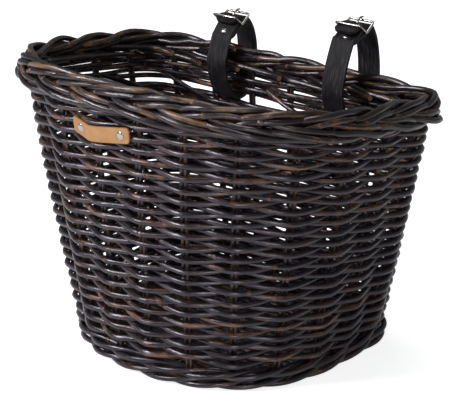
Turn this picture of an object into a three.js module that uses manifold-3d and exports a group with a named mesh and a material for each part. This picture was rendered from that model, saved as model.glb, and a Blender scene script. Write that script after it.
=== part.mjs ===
// Round-cane bicycle basket with two buckled leather straps and a leather tag.
// Millimetres, +Z up. The origin lies under the basket on the surface it stands on. -Y is the front with the
// tag and +Y is the back with the straps.
import * as THREE from 'three';
import { mergeVertices } from 'three/addons/utils/BufferGeometryUtils.js';
import Module from 'manifold-3d';

const wasm = await Module();
wasm.setup();

// Driving dimensions

const CLEARANCE = 0.3; // between pieces that touch

const RIM_HALF_WIDTH = 181; // to the middle of the border
const RIM_FRONT = 143;
const RIM_BACK = 99;
const RIM_FRONT_POWER = 2.8; // bowed front
const RIM_BACK_POWER = 7; // straight back
const RIM_HEIGHT = 249.5; // middle of the border above the standing surface, at y = 0
const RIM_SLOPE = 0.113; // the border falls this much per millimetre towards the back

const FOOT_HALF_WIDTH = 131; // to the middle of the stakes
const FOOT_FRONT = 123;
const FOOT_BACK = 98.5;
const FOOT_FRONT_POWER = 2.25;
const FOOT_BACK_POWER = 6;

const BASE_THICKNESS = 6;
const BASE_MARGIN = 7; // past the middle of the stakes
const BASE_EDGE = 1.5; // chamfer
const BASE_POINTS = 64;
const BASE_RING = 9; // flat ring inside the middle of the stakes
const BASE_ROW_PITCH = 4.3; // canes across the middle of the base
const BASE_ROW_TOP = 5.3;
const BASE_ROW_VALLEY = 3.4;

const STAKE_COUNT = 21; // odd, so that one weaver alternates from row to row
const STAKE_CANE = 3.8; // each stake is two canes side by side
const STAKE_PAIR_PITCH = 3.6;

const WEAVER_CANE = 4.9;
const WEAVER_COUNT = 6; // canes below the strap row, one after the other
const UPPER_ROUNDS = 2; // rounds of weave above the strap row
const WEAVER_SIDES = 5;
const ROW_GAP = 0.35; // between one row and the next
const BUTT_GAP = 0.4; // where one cane ends and the next begins
const OFFSET_PASSES = 6; // rounds of settling the canes against the stakes

const STRAP_ROW_HEIGHT = 11; // open row that the straps pass through, at the back
const OPEN_STAKE_COUNT = 2; // stakes to each side of the middle of the back with the full height
const SHUT_STAKE_COUNT = 6; // stakes from there to where it has closed up

const WALE_ROWS = 3; // level rods at the foot
const WALE_STROKE_COUNT = 3; // outside two stakes, inside the third

const BORDER_STRANDS = 3;
const BORDER_WIDTH = 10.4; // one plaited strand
const BORDER_THICKNESS = 7.6;
const BORDER_SWAY = 9.2; // up and down from the middle, across the plait's face
const BORDER_DEPTH = 7.4; // out and in from the middle
const BORDER_LEAN = 15; // degrees that the plait's face looks up
const BORDER_TURN = -30; // degrees, so that a strand's lowest place lies on each stake
const BORDER_STEPS = 12; // rings in one wave of a strand
const BORDER_SIDES = 6;
const FLOOR_STEP = 0.05; // share of a ring spacing at which the border's underside is measured

const STRAP_STAKE_COUNT = 1.5; // stake spacings from the middle of the back
const STRAP_WIDTH = 24;
const STRAP_THICKNESS = 2.8;
const STRAP_REACH = 25; // the back leg from the middle of the border
const STRAP_FRONT_LEFT = 22; // the front leg
const STRAP_FRONT_RIGHT = 31.5;
const STRAP_TAIL_LEFT = 11.5; // the tail's end before the buckle's middle bar
const STRAP_TAIL_RIGHT = 18;
const STRAP_RISE_LEFT = 46.2; // top of the loop above the middle of the border
const STRAP_RISE_RIGHT = 62.3;
const STRAP_STEPS = 121;
const FLAP_LENGTH = 19; // folded end below the buckle
const FOLD_LEAN_LEFT = 50; // degrees below level at which the folded end leaves the buckle
const FOLD_LEAN_RIGHT = 33;

const BAR_RADIUS = 1.4; // middle bar of the buckle
const FRAME_RADIUS = 1.25;
const FRAME_REACH = 11; // end bars before and behind the middle bar
const FRAME_RISE = 8; // end bars above the middle bar
const FRAME_SIDE_GAP = 0.8; // between strap edge and frame
const FRAME_CORNER = 2.5;
const FRAME_SIDES = 8;
const PRONG_RADIUS = 1.1;
const PRONG_SIDE_GAP = 1.2; // on each side of the prong, in the fold
const PRONG_HOLE_SIDE_GAP = 0.5;
const PRONG_HOLE_FRONT = 2.4; // the hole in the tail, before and behind the middle bar
const PRONG_HOLE_BACK = 7.4;

const RIVET_SHANK = 1.4;
const RIVET_HEAD = 3.6;
const RIVET_HEAD_HEIGHT = 1.4;
const RIVET_SEGMENTS = 12;
const STRAP_RIVET_PLACE = 12.5; // below the middle bar, along the folded end

const LABEL_X = -12; // middle of the tag
const LABEL_LENGTH = 73;
const LABEL_HEIGHT = 15;
const LABEL_THICKNESS = 2.2;
const LABEL_STEPS = 10;
const LABEL_RIVET_INSET = 11;

// Materials

const CANE_COLOURS = [0x3a3431, 0x332f2e, 0x40362f];
const STAKE_COLOUR = 0x4a382c;
const BORDER_COLOUR = 0x37322f;
const BASE_COLOUR = 0x38312c;
const LEATHER_COLOUR = 0x26262a;
const TAG_COLOUR = 0xc79a62;
const NICKEL_COLOUR = 0xbfbfc2;

function caneMaterial(colour) {
  return new THREE.MeshStandardMaterial({ color: colour, roughness: 0.45, metalness: 0 });
}

function leatherMaterial(colour) {
  return new THREE.MeshStandardMaterial({ color: colour, roughness: 0.6, metalness: 0 });
}

function nickelMaterial() {
  return new THREE.MeshStandardMaterial({ color: NICKEL_COLOUR, roughness: 0.25, metalness: 1 });
}

const basket = new THREE.Group();

function addPiece(name, geometry, material, parent = basket) {
  const mesh = new THREE.Mesh(geometry, material);
  mesh.name = name;
  parent.add(mesh);
}

// Solids: joining and cutting closed meshes

function toSolid(geometry) {
  const bare = geometry.clone();
  bare.deleteAttribute('normal');
  bare.deleteAttribute('uv');
  const merged = mergeVertices(bare, 1e-4);
  return new wasm.Manifold(new wasm.Mesh({
    numProp: 3,
    vertProperties: new Float32Array(merged.attributes.position.array),
    triVerts: new Uint32Array(merged.index.array),
  }));
}

function toGeometry(solid) {
  const mesh = solid.getMesh();
  const geometry = new THREE.BufferGeometry();
  geometry.setAttribute('position', new THREE.BufferAttribute(new Float32Array(mesh.vertProperties), 3));
  geometry.setIndex(new THREE.BufferAttribute(new Uint32Array(mesh.triVerts), 1));
  geometry.computeVertexNormals();
  return geometry;
}

// Sections and sweeps

function roundSection(width, height, sides) {
  return Array.from({ length: sides }, (_, k) => {
    const angle = (2 * Math.PI * (k + 0.5)) / sides;
    return new THREE.Vector2((height / 2) * Math.cos(angle), (width / 2) * Math.sin(angle));
  });
}

// Two touching canes as one outline, with a waist between them.
function pairSection(cane, pitch) {
  const arc = [-110, -66, -22, 22, 66, 110].map(THREE.MathUtils.degToRad);
  const radius = cane / 2;
  const right = arc.map((a) => new THREE.Vector2(radius * Math.sin(a), pitch / 2 + radius * Math.cos(a)));
  const left = right.map((corner) => corner.clone().negate());
  return [...right, ...left].reverse();
}

// Sweeps a closed section along points; outward[i] is the side that the section's first axis faces. The rings
// lie across the path, or across one direction if it is given.
function sweep(points, outward, section, closed = false, across = null) {
  const count = points.length;
  const sides = section.length;
  const positions = [];
  points.forEach((point, i) => {
    const next = closed ? points[(i + 1) % count] : points[Math.min(i + 1, count - 1)];
    const last = closed ? points[(i + count - 1) % count] : points[Math.max(i - 1, 0)];
    const tangent = across ?? next.clone().sub(last).normalize();
    const normal = outward[i].clone().addScaledVector(tangent, -outward[i].dot(tangent)).normalize();
    const side = tangent.clone().cross(normal);
    for (const corner of section) {
      const place = point.clone().addScaledVector(normal, corner.x).addScaledVector(side, corner.y);
      positions.push(place.x, place.y, place.z);
    }
  });
  const index = [];
  const spans = closed ? count : count - 1;
  for (let i = 0; i < spans; i += 1) {
    const here = i * sides;
    const there = ((i + 1) % count) * sides;
    for (let k = 0; k < sides; k += 1) {
      const n = (k + 1) % sides;
      index.push(here + k, here + n, there + n, here + k, there + n, there + k);
    }
  }
  if (!closed) {
    const end = (count - 1) * sides;
    for (const [a, b, c] of THREE.ShapeUtils.triangulateShape(section, [])) {
      index.push(c, b, a, end + a, end + b, end + c);
    }
  }
  const geometry = new THREE.BufferGeometry();
  geometry.setAttribute('position', new THREE.Float32BufferAttribute(positions, 3));
  geometry.setIndex(index);
  geometry.computeVertexNormals();
  return geometry;
}

// Plan curves: a D with a bowed front and a straight back, from the middle of the front towards +X

class PlanCurve extends THREE.Curve {
  constructor(halfWidth, front, back, frontPower, backPower) {
    super();
    this.halfWidth = halfWidth;
    this.front = front;
    this.back = back;
    this.frontPower = frontPower;
    this.backPower = backPower;
    this.arcLengthDivisions = 1440;
  }

  getPoint(t) {
    const angle = 2 * Math.PI * t - Math.PI / 2;
    const cos = Math.cos(angle);
    const sin = Math.sin(angle);
    const power = 2 / (sin < 0 ? this.frontPower : this.backPower);
    const depth = sin < 0 ? this.front : this.back;
    const x = this.halfWidth * Math.sign(cos) * Math.abs(cos) ** power;
    const y = depth * Math.sign(sin) * Math.abs(sin) ** power;
    return new THREE.Vector3(x, y, 0);
  }
}

const rimCurve = new PlanCurve(RIM_HALF_WIDTH, RIM_FRONT, RIM_BACK, RIM_FRONT_POWER, RIM_BACK_POWER);
const footCurve = new PlanCurve(FOOT_HALF_WIDTH, FOOT_FRONT, FOOT_BACK, FOOT_FRONT_POWER, FOOT_BACK_POWER);

function onRim(share) {
  const point = rimCurve.getPointAt(THREE.MathUtils.euclideanModulo(share, 1));
  point.z = RIM_HEIGHT - RIM_SLOPE * point.y;
  return point;
}

function onFoot(share) {
  const point = footCurve.getPointAt(THREE.MathUtils.euclideanModulo(share, 1));
  point.z = BASE_THICKNESS;
  return point;
}

function outwardAt(curvePoint, share) {
  const step = 0.002;
  const along = curvePoint(share + step).sub(curvePoint(share - step));
  return new THREE.Vector3(along.y, -along.x, 0).normalize();
}

// The wall between foot and rim: a point at a share of the way round and a height, and the way out from it.
function onWall(share, z) {
  const foot = onFoot(share);
  const rim = onRim(share);
  const point = foot.clone().lerp(rim, (z - foot.z) / (rim.z - foot.z));
  const outward = outwardAt(onFoot, share).lerp(outwardAt(onRim, share), (z - foot.z) / (rim.z - foot.z));
  return { point, outward: outward.setZ(0).normalize() };
}

// Heights of the rows

const rowPitch = WEAVER_CANE + ROW_GAP;
const borderLean = THREE.MathUtils.degToRad(BORDER_LEAN);
const strandHalfHeight = Math.hypot(
  (BORDER_WIDTH / 2) * Math.cos(borderLean),
  (BORDER_THICKNESS / 2) * Math.sin(borderLean),
);
const strandHeights = Array.from({ length: 10 * BORDER_STEPS }, (_, i) => {
  const phase = (2 * Math.PI * i) / (10 * BORDER_STEPS);
  return BORDER_SWAY * Math.sin(phase) * Math.cos(borderLean)
    + BORDER_DEPTH * Math.sin(2 * phase) * Math.sin(borderLean);
});
const borderHalf = Math.max(...strandHeights) + strandHalfHeight;
const footWaleLow = BASE_THICKNESS + CLEARANCE + WEAVER_CANE / 2;
const footWaleTop = footWaleLow + (WALE_ROWS - 1) * rowPitch;
const weaveLow = footWaleTop + rowPitch;
const frontRowHeight = 2 * (RIVET_SHANK + 3 * CLEARANCE); // the open row at the front passes the tag's rivets

// A stake stands in the middle of the back, so the middle of the front lies between two stakes.
function stakeShare(index) {
  return 0.5 + index / STAKE_COUNT;
}

const stakeIndexes = Array.from({ length: STAKE_COUNT }, (_, i) => i);
const seamStake = Math.round(0.75 * STAKE_COUNT); // the weave starts and ends at the side

// How much of a round lies between the seam and a place.
function roundPart(share) {
  return THREE.MathUtils.euclideanModulo(share - stakeShare(seamStake), 1);
}

function openHeight(share) {
  const stakesAway = Math.abs(THREE.MathUtils.euclideanModulo(share, 1) - 0.5) * STAKE_COUNT;
  const shut = THREE.MathUtils.smoothstep(stakesAway, OPEN_STAKE_COUNT, SHUT_STAKE_COUNT);
  return THREE.MathUtils.lerp(STRAP_ROW_HEIGHT, frontRowHeight, shut);
}

function upperHigh(share) {
  return onRim(share).z - borderHalf - CLEARANCE - WEAVER_CANE / 2;
}

function upperLow(share) {
  return upperHigh(share) - UPPER_ROUNDS * rowPitch;
}

function weaveHigh(share) {
  return upperLow(share) + rowPitch - openHeight(share) - WEAVER_CANE;
}

// Middle of the open row.
function openRow(share) {
  return upperLow(share) + rowPitch * roundPart(share) - (WEAVER_CANE + openHeight(share)) / 2;
}

const lowestWeave = Math.min(...stakeIndexes.map((i) => weaveHigh(stakeShare(i)) - weaveLow));
const weaveRounds = Math.floor(lowestWeave / rowPitch);

// Base

function footOutline(margin) {
  const points = Array.from({ length: BASE_POINTS }, (_, k) => {
    const share = k / BASE_POINTS;
    const place = onFoot(share).addScaledVector(outwardAt(onFoot, share), margin);
    return new THREE.Vector2(place.x, place.y);
  });
  return new THREE.Shape(points);
}

// The canes across the base, as one ridged sheet.
function baseRows() {
  const rows = Math.ceil((FOOT_FRONT + FOOT_BACK) / BASE_ROW_PITCH);
  const end = rows * BASE_ROW_PITCH - FOOT_FRONT;
  const outline = [new THREE.Vector2(end, BASE_ROW_VALLEY / 2), new THREE.Vector2(-FOOT_FRONT, BASE_ROW_VALLEY / 2)];
  for (let row = 0; row < rows; row += 1) {
    const y = row * BASE_ROW_PITCH - FOOT_FRONT;
    outline.push(
      new THREE.Vector2(y, BASE_ROW_VALLEY),
      new THREE.Vector2(y + 0.25 * BASE_ROW_PITCH, BASE_ROW_TOP),
      new THREE.Vector2(y + 0.75 * BASE_ROW_PITCH, BASE_ROW_TOP),
    );
  }
  outline.push(new THREE.Vector2(end, BASE_ROW_VALLEY));
  return extrudeAcross(new THREE.Shape(outline), 2 * FOOT_HALF_WIDTH);
}

function buildBase() {
  const plate = new THREE.ExtrudeGeometry(footOutline(BASE_MARGIN - BASE_EDGE), {
    depth: BASE_THICKNESS - 2 * BASE_EDGE,
    bevelThickness: BASE_EDGE,
    bevelSize: BASE_EDGE,
    bevelSegments: 1,
  });
  plate.translate(0, 0, BASE_EDGE);
  const upright = { depth: BASE_THICKNESS, bevelEnabled: false };
  const hollow = new THREE.ExtrudeGeometry(footOutline(-BASE_RING), upright).translate(0, 0, BASE_ROW_VALLEY / 2);
  const middle = new THREE.ExtrudeGeometry(footOutline(CLEARANCE - BASE_RING), upright);
  const rows = toSolid(baseRows()).intersect(toSolid(middle));
  const base = toSolid(plate).subtract(toSolid(hollow)).add(rows);
  addPiece('base_mat', toGeometry(base), caneMaterial(BASE_COLOUR));
}

// Where the middle of a plaited strand runs, in rings and straight between them

const borderWaves = Math.round(STAKE_COUNT / BORDER_STRANDS);
const borderRings = borderWaves * BORDER_STEPS;

// The way that the plait's face looks.
function plaitFace(share) {
  const face = outwardAt(onRim, share).multiplyScalar(Math.cos(borderLean));
  return face.setZ(Math.sin(borderLean));
}

function strandRing(strand, ring) {
  const share = ring / borderRings;
  const turn = THREE.MathUtils.degToRad(BORDER_TURN);
  const phase = 2 * Math.PI * (borderWaves * share + strand / BORDER_STRANDS) + turn;
  const face = plaitFace(share);
  const wide = outwardAt(onRim, share).multiplyScalar(-Math.sin(borderLean)).setZ(Math.cos(borderLean));
  const place = onRim(share).addScaledVector(wide, BORDER_SWAY * Math.sin(phase));
  return place.addScaledVector(face, BORDER_DEPTH * Math.sin(2 * phase));
}

// Height of the lowest underside among the strands that pass over a stake.
function borderFloor(share) {
  const middle = onRim(share);
  const outward = outwardAt(onRim, share);
  const along = new THREE.Vector3(-outward.y, outward.x, 0);
  const nearest = Math.floor(share * borderRings);
  let floor = middle.z;
  for (let strand = 0; strand < BORDER_STRANDS; strand += 1) {
    for (let ring = nearest - 2; ring <= nearest + 2; ring += 1) {
      const from = strandRing(strand, ring);
      const way = strandRing(strand, ring + 1).sub(from);
      const depth = (strandHalfHeight * way.length()) / Math.hypot(way.x, way.y);
      for (let part = 0; part < 1; part += FLOOR_STEP) {
        const place = from.clone().addScaledVector(way, part);
        const aside = place.clone().sub(middle);
        const over = Math.abs(aside.dot(along)) < (STAKE_PAIR_PITCH + STAKE_CANE) / 2 + CLEARANCE
          && Math.abs(aside.dot(outward)) < (BORDER_WIDTH + STAKE_CANE) / 2 + CLEARANCE;
        if (over) floor = Math.min(floor, place.z - depth);
      }
    }
  }
  return floor;
}

// Stakes: straight pairs of canes from the base to just under the plait

function buildStakes() {
  const section = pairSection(STAKE_CANE, STAKE_PAIR_PITCH);
  for (const i of stakeIndexes) {
    const share = stakeShare(i);
    const low = onWall(share, BASE_THICKNESS + CLEARANCE);
    const high = onWall(share, borderFloor(share) - CLEARANCE);
    const outward = [low.outward, low.outward];
    const geometry = sweep([low.point, high.point], outward, section, false, new THREE.Vector3(0, 0, 1));
    addPiece(`stake_${String(i + 1).padStart(2, '0')}`, geometry, caneMaterial(STAKE_COLOUR));
  }
}

// A cane that passes stakes one after the other; each stop says which stake, how high and on which side. How
// far the cane stands off a stake follows from how steeply it comes to it from the neighbouring stakes.
function layCane(stops) {
  const reach = STAKE_CANE / 2 + WEAVER_CANE / 2 + CLEARANCE;
  const places = stops.map((stop) => {
    const share = stakeShare(stop.stake);
    const wall = onWall(share, stop.z);
    const rise = onRim(share).sub(onFoot(share));
    return { ...wall, side: stop.side, upright: rise.z / rise.length(), offset: reach };
  });
  const middle = (place) => place.point.clone().addScaledVector(place.outward, place.side * place.offset);
  for (let pass = 0; pass < OFFSET_PASSES; pass += 1) {
    places.forEach((place, i) => {
      const needs = [places[i - 1], places[i + 1]].filter(Boolean).map((neighbour) => {
        const way = middle(neighbour).sub(middle(place)).setZ(0);
        const drop = -place.side * way.dot(place.outward);
        const along = Math.sqrt(way.lengthSq() - drop * drop);
        const slope = Math.max(drop / along, 0);
        return (reach * Math.hypot(1, slope) + (STAKE_PAIR_PITCH / 2) * slope) / place.upright;
      });
      place.offset = Math.max(...needs);
    });
  }
  return places.map((place) => ({ point: middle(place), outward: place.outward, offset: place.offset }));
}

// The cane runs from half-way before its second stop to half-way past its last but one.
function buildCane(name, stops, colour) {
  const places = layCane(stops);
  const inner = places.slice(1, -1);
  const points = inner.map((place) => place.point);
  const outward = inner.map((place) => place.outward);
  const begin = places[0].point.clone().lerp(points[0], 0.5);
  begin.add(points[0].clone().sub(begin).setLength(BUTT_GAP / 2));
  const end = places[places.length - 1].point.clone().lerp(points[points.length - 1], 0.5);
  end.add(points[points.length - 1].clone().sub(end).setLength(BUTT_GAP / 2));
  const section = roundSection(WEAVER_CANE, WEAVER_CANE, WEAVER_SIDES);
  const path = [begin, ...points, end];
  const sides = [outward[0], ...outward, outward[outward.length - 1]];
  addPiece(name, sweep(path, sides, section), caneMaterial(colour));
}

// Plain weave: a spiral that rises from the seam, outside one stake and inside the next, made of some canes

function buildSpiral(name, canes, rounds, lowAt, highAt) {
  const total = rounds * STAKE_COUNT;
  for (let w = 0; w < canes; w += 1) {
    const first = Math.round((w * total) / canes);
    const last = Math.round(((w + 1) * total) / canes);
    const stops = [];
    for (let i = first - 1; i <= last; i += 1) {
      const share = stakeShare(seamStake + i);
      const z = THREE.MathUtils.lerp(lowAt(share), highAt(share), i / total);
      stops.push({ stake: seamStake + i, z, side: i % 2 === 0 ? 1 : -1 });
    }
    buildCane(`${name}_${w + 1}`, stops, CANE_COLOURS[w % CANE_COLOURS.length]);
  }
}

// Wale at the foot: level rods that pass outside two stakes and inside the third

function buildFootWale() {
  for (let row = 0; row < WALE_ROWS; row += 1) {
    const stops = [];
    for (let i = -1; i <= STAKE_COUNT; i += 1) {
      const inside = THREE.MathUtils.euclideanModulo(i + row, WALE_STROKE_COUNT) === 0;
      stops.push({ stake: i, z: footWaleLow + row * rowPitch, side: inside ? -1 : 1 });
    }
    buildCane(`foot_wale_${row + 1}`, stops, CANE_COLOURS[row % CANE_COLOURS.length]);
  }
}

// Border: a plait of three thick strands lying on the stakes' tops

function buildBorder() {
  const rings = Array.from({ length: borderRings }, (_, ring) => ring);
  const section = roundSection(BORDER_WIDTH, BORDER_THICKNESS, BORDER_SIDES);
  for (let strand = 0; strand < BORDER_STRANDS; strand += 1) {
    const points = rings.map((ring) => strandRing(strand, ring));
    const faces = rings.map((ring) => plaitFace(ring / borderRings));
    const geometry = sweep(points, faces, section, true);
    addPiece(`border_strand_${strand + 1}`, geometry, caneMaterial(BORDER_COLOUR));
  }
}

// Straps: a leather band in a loop round the border, in its own frame: y backwards and z upwards from the
// middle of the border, x along the rim

const acrossStrap = new THREE.Matrix4().makeBasis(
  new THREE.Vector3(0, 1, 0),
  new THREE.Vector3(0, 0, 1),
  new THREE.Vector3(1, 0, 0),
);
const foldRadius = BAR_RADIUS + CLEARANCE + STRAP_THICKNESS / 2; // middle of the leather round the bar
const tailHeight = foldRadius + STRAP_THICKNESS + CLEARANCE; // middle of the tail above the bar
const leftLoop = {
  rise: STRAP_RISE_LEFT,
  front: STRAP_FRONT_LEFT,
  tail: STRAP_TAIL_LEFT,
  lean: FOLD_LEAN_LEFT,
};
const rightLoop = {
  rise: STRAP_RISE_RIGHT,
  front: STRAP_FRONT_RIGHT,
  tail: STRAP_TAIL_RIGHT,
  lean: FOLD_LEAN_RIGHT,
};

// A loop's folded end: the height of its bar, the way down it and the way out from the loop's inside.
function foldOf(loop) {
  const angle = THREE.MathUtils.degToRad(loop.lean);
  return {
    bar: loop.rise - tailHeight - STRAP_THICKNESS / 2,
    down: new THREE.Vector2(-Math.cos(angle), -Math.sin(angle)),
    out: new THREE.Vector2(-Math.sin(angle), Math.cos(angle)),
  };
}

// A place by the folded end: how far down it from the bar, and how far out from the bar's middle.
function byFold(fold, along, out) {
  return new THREE.Vector2(0, fold.bar).addScaledVector(fold.down, along).addScaledVector(fold.out, out);
}

// Middle line of the leather from the flap, round the bar, down the front, through the open row, where it lies
// on the weave, and back over the bar.
function strapLine(loop, bottom) {
  const fold = foldOf(loop);
  const { bar } = fold;
  const flapOut = foldRadius - STRAP_THICKNESS - CLEARANCE;
  const points = [
    byFold(fold, FLAP_LENGTH, flapOut),
    byFold(fold, STRAP_RIVET_PLACE, flapOut),
    byFold(fold, STRAP_RIVET_PLACE - RIVET_HEAD, flapOut),
    byFold(fold, (STRAP_RIVET_PLACE - RIVET_HEAD) / 2, (flapOut - foldRadius) / 2),
    byFold(fold, 0, -foldRadius),
    byFold(fold, -0.71 * foldRadius, -0.71 * foldRadius),
    byFold(fold, -foldRadius, 0),
    byFold(fold, -0.71 * foldRadius, 0.71 * foldRadius),
    byFold(fold, 0, foldRadius),
    byFold(fold, (STRAP_RIVET_PLACE - RIVET_HEAD) / 2, foldRadius),
    byFold(fold, STRAP_RIVET_PLACE - RIVET_HEAD, foldRadius),
    byFold(fold, STRAP_RIVET_PLACE, foldRadius),
    byFold(fold, STRAP_RIVET_PLACE + RIVET_HEAD, foldRadius),
    byFold(fold, FLAP_LENGTH, foldRadius),
  ];
  const leg = STRAP_REACH;
  const { front, tail } = loop;
  const shoulder = byFold(fold, FLAP_LENGTH, foldRadius);
  points.push(
    new THREE.Vector2(-0.84 * front, 0.55 * shoulder.y),
    new THREE.Vector2(-front, 0.1 * shoulder.y),
    new THREE.Vector2(-0.96 * front, 0.2 * bottom),
    new THREE.Vector2(-0.82 * front, 0.5 * bottom),
    new THREE.Vector2(-0.5 * front, 0.86 * bottom),
    new THREE.Vector2(0, bottom),
    new THREE.Vector2(0.62 * leg, 0.86 * bottom),
    new THREE.Vector2(0.93 * leg, 0.48 * bottom),
    new THREE.Vector2(leg, 0),
    new THREE.Vector2(0.97 * leg, 0.4 * bar),
    new THREE.Vector2(0.8 * leg, 0.78 * bar),
    new THREE.Vector2(0.52 * leg, bar + 0.3 * tailHeight),
    new THREE.Vector2(0.26 * leg, bar + 0.86 * tailHeight),
    new THREE.Vector2(0, bar + tailHeight),
    new THREE.Vector2(-0.33 * tail, bar + 0.96 * tailHeight),
    new THREE.Vector2(-0.72 * tail, bar + 0.6 * tailHeight),
    new THREE.Vector2(-tail, bar - 0.2 * tailHeight),
  );
  return new THREE.SplineCurve(points);
}

function bandOutline(curve) {
  const left = [];
  const right = [];
  for (let i = 0; i <= STRAP_STEPS; i += 1) {
    const t = i / STRAP_STEPS;
    const point = curve.getPoint(t);
    const tangent = curve.getTangent(t);
    const normal = new THREE.Vector2(-tangent.y, tangent.x);
    left.push(point.clone().addScaledVector(normal, STRAP_THICKNESS / 2));
    right.push(point.clone().addScaledVector(normal, -STRAP_THICKNESS / 2));
  }
  return new THREE.Shape([...right, ...left.reverse()]);
}

function extrudeAcross(shape, width) {
  const geometry = new THREE.ExtrudeGeometry(shape, { depth: width, bevelEnabled: false, curveSegments: 12 });
  return geometry.translate(0, 0, -width / 2).applyMatrix4(acrossStrap);
}

// A round rivet with a head at each end, lying along a direction from the outer head's seat.
function rivetGeometry(seat, inward, grip, headRadius) {
  const profile = [
    new THREE.Vector2(0, -RIVET_HEAD_HEIGHT),
    new THREE.Vector2(0.62 * headRadius, -RIVET_HEAD_HEIGHT),
    new THREE.Vector2(headRadius, -0.35 * RIVET_HEAD_HEIGHT),
    new THREE.Vector2(headRadius, -CLEARANCE),
    new THREE.Vector2(RIVET_SHANK, -CLEARANCE),
    new THREE.Vector2(RIVET_SHANK, grip + CLEARANCE),
    new THREE.Vector2(headRadius, grip + CLEARANCE),
    new THREE.Vector2(headRadius, grip + RIVET_HEAD_HEIGHT),
    new THREE.Vector2(0, grip + RIVET_HEAD_HEIGHT),
  ];
  const turn = new THREE.Quaternion().setFromUnitVectors(new THREE.Vector3(0, 1, 0), inward);
  return new THREE.LatheGeometry(profile, RIVET_SEGMENTS).applyQuaternion(turn).translate(...seat.toArray());
}

// A round hole for a rivet, long enough to pass right through what it fastens.
function rivetHole(seat, inward, grip) {
  const length = grip + 4 * RIVET_HEAD_HEIGHT;
  const radius = RIVET_SHANK + CLEARANCE;
  const hole = new THREE.CylinderGeometry(radius, radius, length, RIVET_SEGMENTS);
  const turn = new THREE.Quaternion().setFromUnitVectors(new THREE.Vector3(0, 1, 0), inward);
  const middle = seat.clone().addScaledVector(inward, grip / 2);
  return hole.applyQuaternion(turn).translate(...middle.toArray());
}

// Closed frame of round wire: two end bars and two sides that dip to the middle bar.
function frameGeometry(bar) {
  const half = STRAP_WIDTH / 2 + FRAME_SIDE_GAP + FRAME_RADIUS;
  const corners = [
    new THREE.Vector3(-half, -FRAME_REACH, bar + FRAME_RISE),
    new THREE.Vector3(half, -FRAME_REACH, bar + FRAME_RISE),
    new THREE.Vector3(half, 0, bar),
    new THREE.Vector3(half, FRAME_REACH, bar + FRAME_RISE),
    new THREE.Vector3(-half, FRAME_REACH, bar + FRAME_RISE),
    new THREE.Vector3(-half, 0, bar),
  ];
  const points = corners.flatMap((corner, i) => {
    const last = corners.at(i - 1).clone().sub(corner).setLength(FRAME_CORNER);
    const next = corners[(i + 1) % corners.length].clone().sub(corner).setLength(FRAME_CORNER);
    const round = last.clone().add(next).multiplyScalar(0.25);
    return [last, round, next].map((way) => way.add(corner));
  });
  const up = points.map(() => new THREE.Vector3(0, 0, 1));
  const section = roundSection(2 * FRAME_RADIUS, 2 * FRAME_RADIUS, FRAME_SIDES);
  const loop = toSolid(sweep(points, up, section, true));
  const barEnds = [new THREE.Vector3(-half, 0, bar), new THREE.Vector3(half, 0, bar)];
  const barSection = roundSection(2 * BAR_RADIUS, 2 * BAR_RADIUS, FRAME_SIDES);
  const middleBar = toSolid(sweep(barEnds, [up[0], up[0]], barSection));
  return toGeometry(loop.add(middleBar));
}

// Prong: an eye round the middle bar, then up through the tail and back onto the rear end bar.
function prongGeometry(bar) {
  const eye = BAR_RADIUS + CLEARANCE + PRONG_RADIUS;
  const rest = FRAME_RISE + FRAME_RADIUS + CLEARANCE + PRONG_RADIUS;
  const points = [];
  for (let angle = -20; angle >= -260; angle -= 40) {
    const turn = THREE.MathUtils.degToRad(angle);
    points.push(new THREE.Vector3(0, eye * Math.cos(turn), bar + eye * Math.sin(turn)));
  }
  points.push(
    new THREE.Vector3(0, 0.75 * eye, bar + 1.35 * eye),
    new THREE.Vector3(0, 1.35 * eye, bar + 0.62 * rest),
    new THREE.Vector3(0, 2.2 * eye, bar + 0.92 * rest),
    new THREE.Vector3(0, FRAME_REACH, bar + rest),
    new THREE.Vector3(0, FRAME_REACH + 2 * FRAME_RADIUS, bar + 0.98 * rest),
  );
  const across = points.map(() => new THREE.Vector3(1, 0, 0));
  return sweep(points, across, roundSection(2 * PRONG_RADIUS, 2 * PRONG_RADIUS, FRAME_SIDES));
}

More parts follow.
